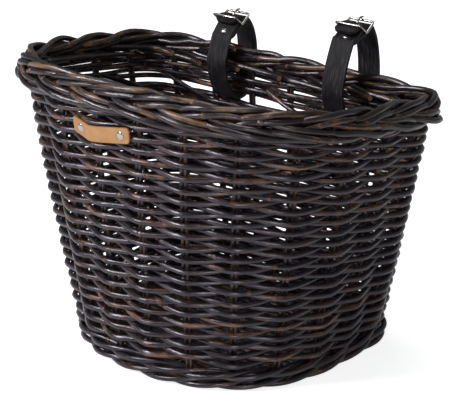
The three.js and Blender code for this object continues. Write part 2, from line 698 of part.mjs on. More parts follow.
function buildStrap(name, side, loop) {
  const share = 0.5 - (side * STRAP_STAKE_COUNT) / STAKE_COUNT;
  const seat = new THREE.Group();
  seat.position.copy(onRim(share));
  basket.add(seat);
  const fold = foldOf(loop);
  const { bar } = fold;

  const seatHeight = openRow(share) - openHeight(share) / 2 + CLEARANCE + STRAP_THICKNESS / 2;
  const line = strapLine(loop, seatHeight - seat.position.z);
  const band = toSolid(extrudeAcross(bandOutline(line), STRAP_WIDTH));
  const slotRadius = foldRadius + STRAP_THICKNESS / 2 + CLEARANCE / 2;
  const slotWidth = 2 * (PRONG_RADIUS + PRONG_SIDE_GAP);
  const slot = new THREE.CylinderGeometry(slotRadius, slotRadius, slotWidth, 24);
  slot.rotateZ(Math.PI / 2).translate(0, 0, bar);
  const holeLength = PRONG_HOLE_FRONT + PRONG_HOLE_BACK;
  const holeWidth = 2 * (PRONG_RADIUS + PRONG_HOLE_SIDE_GAP);
  const hole = new THREE.BoxGeometry(holeWidth, holeLength, 2 * tailHeight);
  hole.translate(0, holeLength / 2 - PRONG_HOLE_FRONT, bar + foldRadius + tailHeight);

  const grip = 2 * STRAP_THICKNESS + CLEARANCE;
  const inward = new THREE.Vector3(0, -fold.out.x, -fold.out.y);
  const place = byFold(fold, STRAP_RIVET_PLACE, foldRadius + STRAP_THICKNESS / 2);
  const rivetSeat = new THREE.Vector3(0, place.x, place.y);
  const holes = [slot, hole, rivetHole(rivetSeat, inward, grip)];
  const cut = holes.reduce((leather, gap) => leather.subtract(toSolid(gap)), band);

  addPiece(`strap_${name}`, toGeometry(cut), leatherMaterial(LEATHER_COLOUR), seat);
  addPiece(`strap_rivet_${name}`, rivetGeometry(rivetSeat, inward, grip, RIVET_HEAD), nickelMaterial(), seat);
  addPiece(`buckle_frame_${name}`, frameGeometry(bar), nickelMaterial(), seat);
  addPiece(`buckle_prong_${name}`, prongGeometry(bar), nickelMaterial(), seat);
}

// Tag: a strip of leather round the front, riveted through the open row

function frontPlace(x) {
  let share = x / rimCurve.getLength();
  for (let i = 0; i < 8; i += 1) {
    share += (x - onWall(share, openRow(share)).point.x) / rimCurve.getLength();
  }
  return { share, height: openRow(share) };
}

// The place nearest to x at which a rivet passes beside the stakes.
function besideStakes(x) {
  const clear = (STAKE_PAIR_PITCH + STAKE_CANE) / 2 + RIVET_SHANK + 2 * CLEARANCE;
  const stakes = stakeIndexes.map((i) => onWall(stakeShare(i), openRow(stakeShare(i))).point);
  const near = stakes.filter((point) => point.y < 0 && Math.abs(x - point.x) < clear);
  return near.length > 0 ? near[0].x + clear * (x < near[0].x ? -1 : 1) : x;
}

// How far the canes stand out at the stakes behind the tag.
function tagReach() {
  const stops = Array.from({ length: 2 * STAKE_COUNT }, (_, i) => {
    const share = stakeShare(i);
    return { stake: i, z: openRow(share), side: i % 2 === 0 ? 1 : -1 };
  });
  const offsets = layCane(stops)
    .filter((place) => place.point.y < 0 && Math.abs(place.point.x - LABEL_X) < LABEL_LENGTH)
    .map((place) => place.offset);
  return Math.max(...offsets) + WEAVER_CANE / 2 + CLEARANCE;
}

function buildTag() {
  const reach = tagReach();
  const section = [
    new THREE.Vector2(0, -LABEL_HEIGHT / 2),
    new THREE.Vector2(LABEL_THICKNESS, -LABEL_HEIGHT / 2),
    new THREE.Vector2(LABEL_THICKNESS, LABEL_HEIGHT / 2),
    new THREE.Vector2(0, LABEL_HEIGHT / 2),
  ];
  // A place on the tag's back and the way out from the leaning wall there.
  const tagPlace = (x) => {
    const { share, height } = frontPlace(x);
    const wall = onWall(share, height);
    const lean = onRim(share).sub(onFoot(share));
    const out = new THREE.Vector3(-wall.outward.y, wall.outward.x, 0).cross(lean).normalize();
    return { point: wall.point.addScaledVector(out, reach), out };
  };
  const places = Array.from({ length: LABEL_STEPS + 1 }, (_, i) => {
    return tagPlace(LABEL_X + LABEL_LENGTH * (i / LABEL_STEPS - 0.5));
  });
  let tag = toSolid(sweep(places.map((place) => place.point), places.map((place) => place.out), section));
  [-1, 1].forEach((end, i) => {
    const rivetX = besideStakes(LABEL_X + end * (LABEL_LENGTH / 2 - LABEL_RIVET_INSET));
    const { point, out } = tagPlace(rivetX);
    const inward = out.clone().negate();
    const seat = point.addScaledVector(out, LABEL_THICKNESS);
    const grip = LABEL_THICKNESS + 2 * reach;
    tag = tag.subtract(toSolid(rivetHole(seat, inward, LABEL_THICKNESS)));
    addPiece(`tag_rivet_${i + 1}`, rivetGeometry(seat, inward, grip, RIVET_HEAD), nickelMaterial());
  });
  addPiece('leather_tag', toGeometry(tag), leatherMaterial(TAG_COLOUR));
}

buildBase();
buildStakes();
buildFootWale();
buildSpiral('weaver', WEAVER_COUNT, weaveRounds, () => weaveLow, weaveHigh);
buildSpiral('upper_weaver', 1, UPPER_ROUNDS, upperLow, upperHigh);
buildBorder();
buildStrap('left', -1, leftLoop);
buildStrap('right', 1, rightLoop);
buildTag();

export default basket;
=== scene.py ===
"""Looks of a round-cane bicycle basket with buckled leather straps and a leather tag.

Sizes are in millimetres in the classes below and become metres where a mesh is made. The frame is that of the
part: the basket stands on z = 0, -Y is its front with the tag and +Y its back with the straps.
"""

import logging
import math
import random
from dataclasses import dataclass, field
from enum import Enum
from functools import lru_cache
from typing import Callable, Sequence

import bmesh
import bpy
import numpy as np
from mathutils import Matrix, Vector, noise

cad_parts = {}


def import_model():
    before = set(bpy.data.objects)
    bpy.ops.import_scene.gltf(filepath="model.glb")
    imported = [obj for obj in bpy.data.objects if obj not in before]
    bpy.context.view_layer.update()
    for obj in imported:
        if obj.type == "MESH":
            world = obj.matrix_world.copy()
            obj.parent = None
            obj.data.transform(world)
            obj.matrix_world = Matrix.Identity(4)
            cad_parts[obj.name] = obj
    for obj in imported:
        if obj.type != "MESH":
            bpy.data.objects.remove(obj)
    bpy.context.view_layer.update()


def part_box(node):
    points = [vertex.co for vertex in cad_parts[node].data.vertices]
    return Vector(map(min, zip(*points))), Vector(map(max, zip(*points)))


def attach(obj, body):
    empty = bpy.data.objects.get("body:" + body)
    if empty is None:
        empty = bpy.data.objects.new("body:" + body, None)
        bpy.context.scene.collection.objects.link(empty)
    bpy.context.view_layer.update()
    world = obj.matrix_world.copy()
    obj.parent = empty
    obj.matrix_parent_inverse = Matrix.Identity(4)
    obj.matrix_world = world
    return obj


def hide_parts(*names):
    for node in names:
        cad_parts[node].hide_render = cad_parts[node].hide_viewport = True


MM = 0.001
UP = Vector((0.0, 0.0, 1.0))
log = logging.getLogger("basket")

Colour = tuple[float, float, float, float]
Span = tuple[float, float]


class Side(Enum):
    """The two straps, by the sign of their X."""

    LEFT = -1
    RIGHT = 1

    @property
    def word(self) -> str:
        """Name used in node and body names."""
        return self.name.lower()


class Hide(Enum):
    """The two leathers."""

    BLACK = "black"
    TAN = "tan"


# Finishes


class NodeWeb:
    """A node tree with short ways to add and join nodes."""

    def __init__(self, tree: bpy.types.NodeTree) -> None:
        """Takes the tree to work in."""
        self.tree = tree

    def add(self, kind: str, **settings: object) -> bpy.types.Node:
        """Adds a node.

        Args:
            kind: Node type, without its ShaderNode prefix.
            settings: Attributes to set on it.

        Returns:
            The new node.
        """
        node = self.tree.nodes.new("ShaderNode" + kind)
        for key, value in settings.items():
            setattr(node, key, value)
        return node

    def join(self, source: object, target: bpy.types.NodeSocket) -> None:
        """Links an output socket, or gives a number or colour, to an input socket.

        Args:
            source: Output socket or constant.
            target: Input socket.
        """
        if isinstance(source, bpy.types.NodeSocket):
            self.tree.links.new(source, target)
        else:
            target.default_value = source

    def math(self, operation: str, first: object, second: object = 0.0) -> bpy.types.NodeSocket:
        """Adds a Math node.

        Args:
            operation: Blender's name of the operation.
            first: First operand.
            second: Second operand.

        Returns:
            Its output.
        """
        node = self.add("Math", operation=operation)
        self.join(first, node.inputs[0])
        self.join(second, node.inputs[1])
        return node.outputs[0]

    def total(self, start: object, *terms: tuple[object, float]) -> bpy.types.NodeSocket:
        """Adds weighted values to a first one.

        Args:
            start: First value.
            terms: Further values, each with its weight.

        Returns:
            The sum.
        """
        for value, weight in terms:
            start = self.math("ADD", start, self.math("MULTIPLY", value, weight))
        return start

    def vector(self, *numbers: object) -> bpy.types.NodeSocket:
        """Combines three numbers.

        Args:
            numbers: The three parts.

        Returns:
            The vector output.
        """
        node = self.add("CombineXYZ")
        for number, socket in zip(numbers, node.inputs):
            self.join(number, socket)
        return node.outputs[0]

    def parts(self, vector: bpy.types.NodeSocket) -> bpy.types.NodeOutputs:
        """Takes a vector apart.

        Args:
            vector: Output socket of the vector.

        Returns:
            The outputs of its three parts.
        """
        node = self.add("SeparateXYZ")
        self.join(vector, node.inputs[0])
        return node.outputs

    def noise(
        self, where: object, scale: float, detail: float = 2.0, rough: float = 0.5
    ) -> bpy.types.NodeSocket:
        """Adds a noise texture.

        Args:
            where: Vector it reads.
            scale: Its scale.
            detail: Octaves.
            rough: Roughness of the octaves.

        Returns:
            Its value, about 0 to 1.
        """
        node = self.add("TexNoise")
        for socket, value in (("Vector", where), ("Scale", scale), ("Detail", detail), ("Roughness", rough)):
            self.join(value, node.inputs[socket])
        return node.outputs["Fac"]

    def ramp(self, value: object, span: Span) -> bpy.types.NodeSocket:
        """Maps a range of a value smoothly to 0 to 1.

        Args:
            value: Input value.
            span: Where 0 is and where 1 is.

        Returns:
            The mapped value.
        """
        node = self.add("MapRange", interpolation_type="SMOOTHSTEP")
        for socket, number in (("Value", value), ("From Min", span[0]), ("From Max", span[1])):
            self.join(number, node.inputs[socket])
        return node.outputs["Result"]

    def mix(self, share: object, first: object, second: object) -> bpy.types.NodeSocket:
        """Mixes two colours.

        Args:
            share: Share of the second.
            first: First colour.
            second: Second colour.

        Returns:
            The mixed colour.
        """
        # A colour mix takes its share and two colours at inputs 0, 6 and 7 and gives its result at output 2.
        node = self.add("Mix", data_type="RGBA")
        for index, value in ((0, share), (6, first), (7, second)):
            self.join(value, node.inputs[index])
        return node.outputs[2]


class MaterialWeb(NodeWeb):
    """A material's node tree and its Principled shader."""

    def __init__(self, name: str) -> None:
        """Starts a material.

        Args:
            name: Name of the material.
        """
        self.material = bpy.data.materials.new(name)
        self.material.use_nodes = True
        super().__init__(self.material.node_tree)
        self.shader = self.tree.nodes["Principled BSDF"]

    def give(self, socket: str, source: object) -> None:
        """Links a socket, or gives a number or colour, to the shader."""
        self.join(source, self.shader.inputs[socket])

    def bump(self, height: object, distance: float, strength: float) -> None:
        """Gives the shader a bumped normal.

        Args:
            height: Height value, about 0 to 1.
            distance: Height of the bumps in metres.
            strength: How much of it shows.
        """
        node = self.add("Bump")
        for socket, value in (("Height", height), ("Distance", distance), ("Strength", strength)):
            self.join(value, node.inputs[socket])
        self.give("Normal", node.outputs["Normal"])


@dataclass(frozen=True)
class Grain:
    """Noise that is drawn out along a cane: its waves once round and in a metre, and its octaves."""

    around: float
    along: float
    detail: float
    rough: float = 0.5


@dataclass(frozen=True)
class CaneFinish:
    """Dark stained and lacquered cane, worn to brown in patches, with a knot here and there."""

    name: str
    dark: Colour = (0.0082, 0.0054, 0.0082, 1.0)
    stain: Colour = (0.0360, 0.0185, 0.0140, 1.0)
    worn: Colour = (0.21, 0.100, 0.048, 1.0)
    lacquer: Colour = (0.96, 0.90, 1.0, 1.0)
    wear: float = 0.8
    patch: Grain = Grain(2.6, 22.0, 4.0, 0.62)
    streak: Grain = Grain(11.0, 26.0, 3.0)
    fibre: Grain = Grain(34.0, 55.0, 2.0)
    speck: Grain = Grain(5.0, 150.0, 3.0)
    seed_spread: float = 57.0
    shade_patch: float = 0.08
    streak_stain: float = 0.5
    stained: Span = (0.75, 0.90)
    streak_rub: float = 0.25
    speck_rub: float = 0.25
    rubbed: Span = (0.87, 0.99)
    knot_spacing: float = 0.31
    knot: Span = (0.010, 0.002)
    knot_wear: float = 0.3
    rough: float = 0.15
    streak_rough: float = 0.18
    rubbed_rough: float = 0.15
    gloss: float = 0.62
    coat: float = 0.25
    coat_rough: float = 0.14
    streak_relief: float = 0.7
    fibre_relief: float = 0.3
    knot_relief: float = 1.2
    relief: float = 0.0008
    relief_shown: float = 0.9

    def material(self) -> bpy.types.Material:
        """Makes the material, which reads the piece's UV map and its cane attribute.

        Returns:
            The material.
        """
        web = MaterialWeb(self.name)
        around, along, _ = web.parts(web.add("UVMap", uv_map="UVMap").outputs["UV"])
        seed, shade, _ = web.parts(web.add("Attribute", attribute_name="cane").outputs["Vector"])
        far = web.math("MULTIPLY", seed, self.seed_spread)

        def drawn(grain: Grain) -> bpy.types.NodeSocket:
            """Noise of a grain on this cane.

            Args:
                grain: The grain.

            Returns:
                Its value, about 0 to 1.
            """
            across = web.math("MULTIPLY", around, grain.around)
            lengthwise = web.math("MULTIPLY", along, grain.along)
            return web.noise(web.vector(across, lengthwise, far), 1.0, grain.detail, grain.rough)

        streak, fibre, speck = drawn(self.streak), drawn(self.fibre), drawn(self.speck)
        patch = web.total(drawn(self.patch), (shade, self.shade_patch))
        rubbed = web.ramp(web.total(patch, (streak, self.streak_rub), (speck, self.speck_rub)), self.rubbed)
        stained = web.ramp(web.total(patch, (streak, self.streak_stain)), self.stained)
        ring = web.math("FRACT", web.math("ADD", web.math("DIVIDE", along, self.knot_spacing), seed))
        knot = web.ramp(web.math("ABSOLUTE", web.math("SUBTRACT", ring, 0.5)), self.knot)
        colour = web.mix(stained, self.dark, self.stain)
        colour = web.mix(web.math("MULTIPLY", rubbed, self.wear), colour, self.worn)
        colour = web.mix(web.math("MULTIPLY", knot, self.knot_wear), colour, self.worn)
        web.give("Base Color", colour)
        web.give("Roughness", web.total(self.rough, (streak, self.streak_rough), (rubbed, self.rubbed_rough)))
        web.give("Specular IOR Level", self.gloss)
        web.give("Specular Tint", self.lacquer)
        web.give("Coat Weight", self.coat)
        web.give("Coat Roughness", self.coat_rough)
        web.give("Coat Tint", self.lacquer)
        raised = web.math("MULTIPLY", streak, self.streak_relief)
        raised = web.total(raised, (fibre, self.fibre_relief), (knot, self.knot_relief))
        web.bump(raised, self.relief, self.relief_shown)
        return web.material


@dataclass(frozen=True)
class CutEndFinish:
    """Bare end grain of a cut cane."""

    name: str
    pale: Colour = (0.58, 0.33, 0.16, 1.0)
    pith: Colour = (0.30, 0.15, 0.065, 1.0)
    pores: float = 1900.0
    pore_detail: float = 3.0
    pore_span: Span = (0.35, 0.7)
    rough: float = 0.8
    relief: float = 0.0002
    relief_shown: float = 0.6

    def material(self) -> bpy.types.Material:
        """Makes the material from Object coordinates.

        Returns:
            The material.
        """
        web = MaterialWeb(self.name)
        grain = web.noise(web.add("TexCoord").outputs["Object"], self.pores, self.pore_detail)
        web.give("Base Color", web.mix(web.ramp(grain, self.pore_span), self.pith, self.pale))
        web.give("Roughness", self.rough)
        web.bump(grain, self.relief, self.relief_shown)
        return web.material


@dataclass(frozen=True)
class LeatherFinish:
    """Leather with a pebbled grain, lighter streaks and a rubbed edge."""

    name: str
    face: Colour
    light: Colour
    edge: Colour
    rough: float
    relief: float
    stretch: tuple[float, float, float] = (1.0, 1.0, 1.0)
    pebbles: float = 900.0
    pebble_span: Span = (0.0, 0.28)
    streaks: float = 70.0
    streak_detail: float = 4.0
    streak_rough: float = 0.6
    streak_span: Span = (0.45, 0.75)
    fine: float = 1500.0
    edge_span: Span = (0.45, 0.95)
    edge_wear: float = 0.8
    rough_range: float = 0.22
    gloss: float = 0.22
    pebble_relief: float = 0.7
    fine_relief: float = 0.3
    relief_shown: float = 0.7

    def material(self) -> bpy.types.Material:
        """Makes the material, which reads Object coordinates and the piece's edge attribute.

        Returns:
            The material.
        """
        web = MaterialWeb(self.name)
        where = web.add("TexCoord").outputs["Object"]
        pebble = web.add("TexVoronoi", feature="DISTANCE_TO_EDGE")
        web.join(where, pebble.inputs["Vector"])
        web.join(self.pebbles, pebble.inputs["Scale"])
        cell = web.ramp(pebble.outputs["Distance"], self.pebble_span)
        drawn = web.add("Mapping")
        web.join(where, drawn.inputs["Vector"])
        web.join(self.stretch, drawn.inputs["Scale"])
        streak = web.noise(drawn.outputs["Vector"], self.streaks, self.streak_detail, self.streak_rough)
        edge = web.ramp(web.add("Attribute", attribute_name="edge").outputs["Fac"], self.edge_span)
        colour = web.mix(web.ramp(streak, self.streak_span), self.face, self.light)
        web.give("Base Color", web.mix(web.math("MULTIPLY", edge, self.edge_wear), colour, self.edge))
        web.give("Roughness", web.total(self.rough, (web.math("SUBTRACT", streak, 0.5), self.rough_range)))
        web.give("Specular IOR Level", self.gloss)
        raised = web.math("MULTIPLY", cell, self.pebble_relief)
        raised = web.total(raised, (web.noise(where, self.fine), self.fine_relief))
        web.bump(raised, self.relief, self.relief_shown)
        return web.material


@dataclass(frozen=True)
class NickelFinish:
    """Nickel plating, polished, with faint rubbing."""

    name: str
    colour: Colour = (0.50, 0.475, 0.44, 1.0)
    rubs: float = 420.0
    rub_detail: float = 4.0
    rub_rough: float = 0.65
    rough: float = 0.14
    rough_range: float = 0.2
    relief: float = 0.00004
    relief_shown: float = 0.5

    def material(self) -> bpy.types.Material:
        """Makes the material from Object coordinates.

        Returns:
            The material.
        """
        web = MaterialWeb(self.name)
        rub = web.noise(web.add("TexCoord").outputs["Object"], self.rubs, self.rub_detail, self.rub_rough)
        web.give("Base Color", self.colour)
        web.give("Metallic", 1.0)
        web.give("Roughness", web.total(self.rough, (rub, self.rough_range)))
        web.bump(rub, self.relief, self.relief_shown)
        return web.material


CANE = CaneFinish("cane_stained")
CANE_BORDER = CaneFinish(
    "cane_border",
    stain=(0.0310, 0.0178, 0.0125, 1.0),
    worn=(0.198, 0.105, 0.045, 1.0),
    lacquer=(0.92, 0.84, 0.86, 1.0),
    knot_spacing=0.27,
)
CANE_STAKE = CaneFinish(
    "cane_stake",
    dark=(0.013, 0.010, 0.010, 1.0),
    stain=(0.055, 0.032, 0.022, 1.0),
    wear=0.5,
    knot_spacing=0.19,
)
CUT_END = CutEndFinish("cane_cut_end")
NICKEL = NickelFinish("nickel_plate")
LEATHERS: dict[Hide, LeatherFinish] = {
    Hide.BLACK: LeatherFinish(
        "leather_black",
        face=(0.0026, 0.0021, 0.0032, 1.0),
        light=(0.0600, 0.0475, 0.0575, 1.0),
        edge=(0.022, 0.020, 0.020, 1.0),
        rough=0.54,
        relief=0.00022,
        stretch=(17.0, 1.1, 1.1),
    ),
    Hide.TAN: LeatherFinish(
        "leather_tan",
        face=(0.425, 0.217, 0.088, 1.0),
        light=(0.50, 0.275, 0.123, 1.0),
        edge=(0.33, 0.155, 0.06, 1.0),
        rough=0.55,
        relief=0.00008,
    ),
}


@lru_cache(maxsize=None)
def shared(finish: CaneFinish | CutEndFinish | LeatherFinish | NickelFinish) -> bpy.types.Material:
    """The one material of a finish, made at first use."""
    return finish.material()


# Ways of making a piece


def piece_of(
    work: bmesh.types.BMesh, name: str, materials: Sequence[bpy.types.Material], smooth: bool = False
) -> bpy.types.Object:
    """Makes an object of a bmesh and links it to the scene.

    Args:
        work: The bmesh, which is freed.
        name: Name of the piece.
        materials: Its materials.
        smooth: Whether all its faces are shaded smooth.

    Returns:
        The piece.
    """
    mesh = bpy.data.meshes.new(name)
    work.to_mesh(mesh)
    work.free()
    if smooth:
        mesh.shade_smooth()
    for material in materials:
        mesh.materials.append(material)
    piece = bpy.data.objects.new(name, mesh)
    bpy.context.collection.objects.link(piece)
    return piece


def dress(piece: bpy.types.Object, body: str, nodes: Sequence[str] = ()) -> None:
    """Makes a piece ride on a body and stand for CAD nodes.

    Args:
        piece: The piece.
        body: Body it moves with.
        nodes: CAD nodes it stands for, if any.
    """
    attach(piece, body)
    if nodes:
        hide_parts(*nodes)
    log.info("%s: %d faces for %s", piece.name, len(piece.data.polygons), ", ".join(nodes) or "no node")


@dataclass(frozen=True)
class Drift:
    """Slow unevenness along a line: its pace, its largest value and which of the line's drifts it is."""

    pace: float
    size: float
    strand: float = 0.0
    rows: Span = (17.3, 5.1)

    def at(self, x: float, seed: float) -> float:
        """Value at a place along the line with this seed, between about -size and size."""
        row = seed + self.strand
        return self.size * noise.noise(Vector((x * self.pace, row * self.rows[0], row * self.rows[1])))


@dataclass
class Rod:
    """One length of round cane or wire along a line of points, in millimetres."""

    points: list[Vector]
    radius: float
    seed: float = 0.0
    shade: float = 0.5
    closed: bool = False
    taper: Sequence[float] | None = None


@dataclass
class RodWork:
    """Makes one mesh of some rods, with a UV map in metres along each and a seed and shade for each."""

    name: str
    finish: CaneFinish | NickelFinish
    resolution: int = 2
    cut_ends: bool = False
    rods: list[Rod] = field(default_factory=list)

    def lay(self, rod: Rod) -> None:
        """Adds a rod."""
        self.rods.append(rod)

    def _tube(self, rod: Rod) -> bpy.types.Object:
        """A bevelled curve along one rod.

        Args:
            rod: The rod.

        Returns:
            A curve object that isn't in the scene.
        """
        data = bpy.data.curves.new("rod", "CURVE")
        data.dimensions = "3D"
        data.bevel_depth = 1.0
        data.bevel_resolution = self.resolution
        data.use_fill_caps = not rod.closed
        data.twist_mode = "MINIMUM"
        line = data.splines.new("POLY")
        count = len(rod.points)
        line.points.add(count - 1)
        places = np.ones((count, 4))
        places[:, :3] = np.array(rod.points) * MM
        line.points.foreach_set("co", places.ravel())
        taper = np.ones(count) if rod.taper is None else np.array(rod.taper)
        line.points.foreach_set("radius", taper * rod.radius * MM)
        line.use_cyclic_u = rod.closed
        return bpy.data.objects.new("rod", data)

    def _sweep(self, work: bmesh.types.BMesh, rod: Rod) -> None:
        """Adds one rod to the mesh. The curve's UV map runs along the rod in u and round it in v.

        Args:
            work: Mesh to add to, with a cane layer on its vertices.
            rod: The rod.
        """
        first_vert, first_face = len(work.verts), len(work.faces)
        tube = self._tube(rod)
        curve = tube.data
        work.from_mesh(tube.to_mesh())
        tube.to_mesh_clear()
        bpy.data.objects.remove(tube)
        bpy.data.curves.remove(curve)
        work.verts.ensure_lookup_table()
        work.faces.ensure_lookup_table()
        cane = work.verts.layers.float_vector["cane"]
        uv = work.loops.layers.uv.active
        length = sum((b - a).length for a, b in zip(rod.points, rod.points[1:])) * MM
        for vert in work.verts[first_vert:]:
            vert[cane] = Vector((rod.seed, rod.shade, 0.0))
        for face in work.faces[first_face:]:
            is_side = len(face.verts) == 4
            face.smooth = is_side
            face.material_index = int(self.cut_ends and not is_side)
            for loop in face.loops:
                place = loop[uv].uv
                loop[uv].uv = (place.y, place.x * length)

    def build(self) -> bpy.types.Object:
        """Sweeps all rods into one object.

        Returns:
            The object, linked to the scene.
        """
        work = bmesh.new()
        work.verts.layers.float_vector.new("cane")
        for rod in self.rods:
            self._sweep(work, rod)
        finishes = [self.finish, CUT_END] if self.cut_ends else [self.finish]
        return piece_of(work, self.name, [shared(finish) for finish in finishes])


# The basket's form


@dataclass(frozen=True)
class Plan:
    """A D-shaped plan line with a bowed front and a straight back, read by share of its length.

    Shares run from the middle of the front towards +X.
    """

    half_width: float
    front: float
    back: float
    front_power: float
    back_power: float
    steps: int = 4000

    def table(self) -> tuple[np.ndarray, np.ndarray]:
        """Points along the line and the share of its length at each.

        Returns:
            The shares and the points.
        """
        angle = np.linspace(0.0, 2.0 * math.pi, self.steps + 1) - math.pi / 2.0
        cos, sin = np.cos(angle), np.sin(angle)
        power = np.where(sin < 0.0, 2.0 / self.front_power, 2.0 / self.back_power)
        depth = np.where(sin < 0.0, self.front, self.back)
        x = self.half_width * np.sign(cos) * np.abs(cos) ** power
        y = depth * np.sign(sin) * np.abs(sin) ** power
        points = np.stack([x, y], axis=1)
        lengths = np.concatenate([[0.0], np.cumsum(np.linalg.norm(np.diff(points, axis=0), axis=1))])
        return lengths / lengths[-1], points


@dataclass
class Shell:
    """The wall between the foot and the border, and where the rows of the weave run on it."""

    rim: Plan = Plan(181.0, 143.0, 99.0, 2.8, 7.0)
    foot: Plan = Plan(131.0, 123.0, 98.5, 2.25, 6.0)
    rim_height: float = 249.5
    rim_slope: float = 0.113
    base_thickness: float = 6.0
    belly: float = 2.3
    stakes: int = 21
    border_half: float = 14.6
    border_lap: float = 7.0
    weave_low: float = 22.0
    upper_rounds: int = 5
    upper_pitch: float = 5.0
    strap_row: float = 6.8
    front_row: float = 0.0
    row_open: float = 2.0
    row_shut: Span = (6.5, 3.8)
    seam_share: float = 0.75
    step: float = 0.002

    def __post_init__(self) -> None:
        """Reads both plan lines once."""
        self._rim = self.rim.table()
        self._foot = self.foot.table()

    @staticmethod
    def _on(table: tuple[np.ndarray, np.ndarray], share: float) -> Vector:
        """Point of a plan line.

        Args:
            table: Shares and points of the line.
            share: Share of its length.

        Returns:
            The point, at z = 0.
        """
        shares, points = table
        part = share % 1.0
        return Vector((np.interp(part, shares, points[:, 0]), np.interp(part, shares, points[:, 1]), 0.0))

    def on_rim(self, share: float) -> Vector:
        """Middle of the border.

        Args:
            share: Share of the way round.

        Returns:
            The point, which is lower towards the back.
        """
        point = self._on(self._rim, share)
        point.z = self.rim_height - self.rim_slope * point.y
        return point

    def on_foot(self, share: float) -> Vector:
        """Middle of the stakes at the base.

        Args:
            share: Share of the way round.

        Returns:
            The point.
        """
        point = self._on(self._foot, share)
        point.z = self.base_thickness
        return point

    def outward(self, line: Callable[[float], Vector], share: float) -> Vector:
        """Level unit direction out of a line, which is a function from share to point."""
        along = line(share + self.step) - line(share - self.step)
        return Vector((along.y, -along.x, 0.0)).normalized()

    def wall(self, share: float, z: float) -> tuple[Vector, Vector]:
        """A place in the wall.

        Args:
            share: Share of the way round.
            z: Height.

        Returns:
            The point at the stakes' middle, and the level direction out of the wall.
        """
        foot, rim = self.on_foot(share), self.on_rim(share)
        part = (z - foot.z) / (rim.z - foot.z)
        out = self.outward(self.on_foot, share).lerp(self.outward(self.on_rim, share), part)
        out = Vector((out.x, out.y, 0.0)).normalized()
        swell = self.belly * max(0.0, 4.0 * part * (1.0 - part))
        return foot.lerp(rim, part) + out * swell, out

    def stake_share(self, index: float) -> float:
        """Share of the way round at which a stake stands; stake 0 is in the middle of the back."""
        return 0.5 + index / self.stakes

    @property
    def seam(self) -> int:
        """Stake at which the weave starts and ends."""
        return round(self.seam_share * self.stakes)

    def open_height(self, share: float) -> float:
        """Height of the open row that the straps pass through, which closes towards the front.

        Args:
            share: Share of the way round.

        Returns:
            The height.
        """
        away = (share % 1.0 - 0.5) * self.stakes
        shut = self.row_shut[0] if away > 0.0 else self.row_shut[1]
        part = min(max((abs(away) - self.row_open) / (shut - self.row_open), 0.0), 1.0)
        part = part * part * (3.0 - 2.0 * part)
        return self.strap_row + (self.front_row - self.strap_row) * part

    def upper_high(self, share: float) -> float:
        """Height of the last row under the border."""
        return self.on_rim(share).z - self.border_half + self.border_lap

    def upper_low(self, share: float) -> float:
        """Height at which the weave above the open row starts."""
        return self.upper_high(share) - self.upper_rounds * self.upper_pitch

    def weave_high(self, share: float) -> float:
        """Height of the last row below the open row."""
        return self.upper_low(share) - self.open_height(share)


# Cane work


@dataclass
class BaseMat:
    """The woven base: sticks from front to back with canes across them."""

    shell: Shell
    stick: float = 3.52
    stick_pitch: float = 24.0
    stick_points: int = 24
    cane: float = 4.5
    cane_pitch: float = 4.25
    cane_shortest: float = 12.0
    cane_points: int = 6
    lift: float = 0.9
    clearance: float = 0.1
    inset: float = 2.0
    probe: float = 2.0
    step: float = 5.0
    seed: int = 71

    @property
    def middle(self) -> float:
        """Height of the mat's middle."""
        return self.cane / 2.0 + self.lift + self.clearance

    def _half_width(self, y: float) -> float:
        """How far the base reaches along X.

        Args:
            y: Place along Y.

        Returns:
            The reach on each side.
        """
        foot = self.shell.foot
        depth, power = (foot.front, foot.front_power) if y < 0 else (foot.back, foot.back_power)
        part = max(0.0, 1.0 - (abs(y) / depth) ** power)
        return max(0.0, foot.half_width * part ** (1.0 / power) - self.inset)

    def _sticks(self, work: RodWork, luck: random.Random) -> None:
        """Lays the sticks.

        Args:
            work: The mat.
            luck: Seeded source of unevenness.
        """
        foot = self.shell.foot
        count = int(foot.half_width // self.stick_pitch)
        for i in range(-count, count + 1):
            x = i * self.stick_pitch
            probes = np.arange(-foot.front, foot.back, self.probe)
            inside = [y for y in probes if self._half_width(y) > abs(x)]
            places = np.linspace(inside[0], inside[-1], self.stick_points)
            points = [Vector((x, float(y), self.middle)) for y in places]
            work.lay(Rod(points, self.stick / 2.0, luck.random(), luck.random()))

    def _canes(self, work: RodWork, luck: random.Random) -> None:
        """Lays the canes, which go over one stick and under the next.

        Args:
            work: The mat.
            luck: Seeded source of unevenness.
        """
        foot = self.shell.foot
        lift = -self.lift
        y = -foot.front + self.inset
        while y < foot.back - self.inset:
            reach = self._half_width(y)
            if reach > self.cane_shortest:
                seed = luck.random()
                places = np.linspace(-reach, reach, max(self.cane_points, int(2.0 * reach / self.step)))
                waves = np.cos(math.pi * places / self.stick_pitch)
                points = [Vector((float(x), y, self.middle + lift * wave)) for x, wave in zip(places, waves)]
                work.lay(Rod(points, self.cane / 2.0, seed, luck.random()))
            y += self.cane_pitch
            lift = -lift

    def build(self) -> None:
        """Builds the mat as one piece."""
        luck = random.Random(self.seed)
        work = RodWork("woven_base", CANE)
        self._sticks(work, luck)
        self._canes(work, luck)
        dress(work.build(), "basket", ["base_mat"])


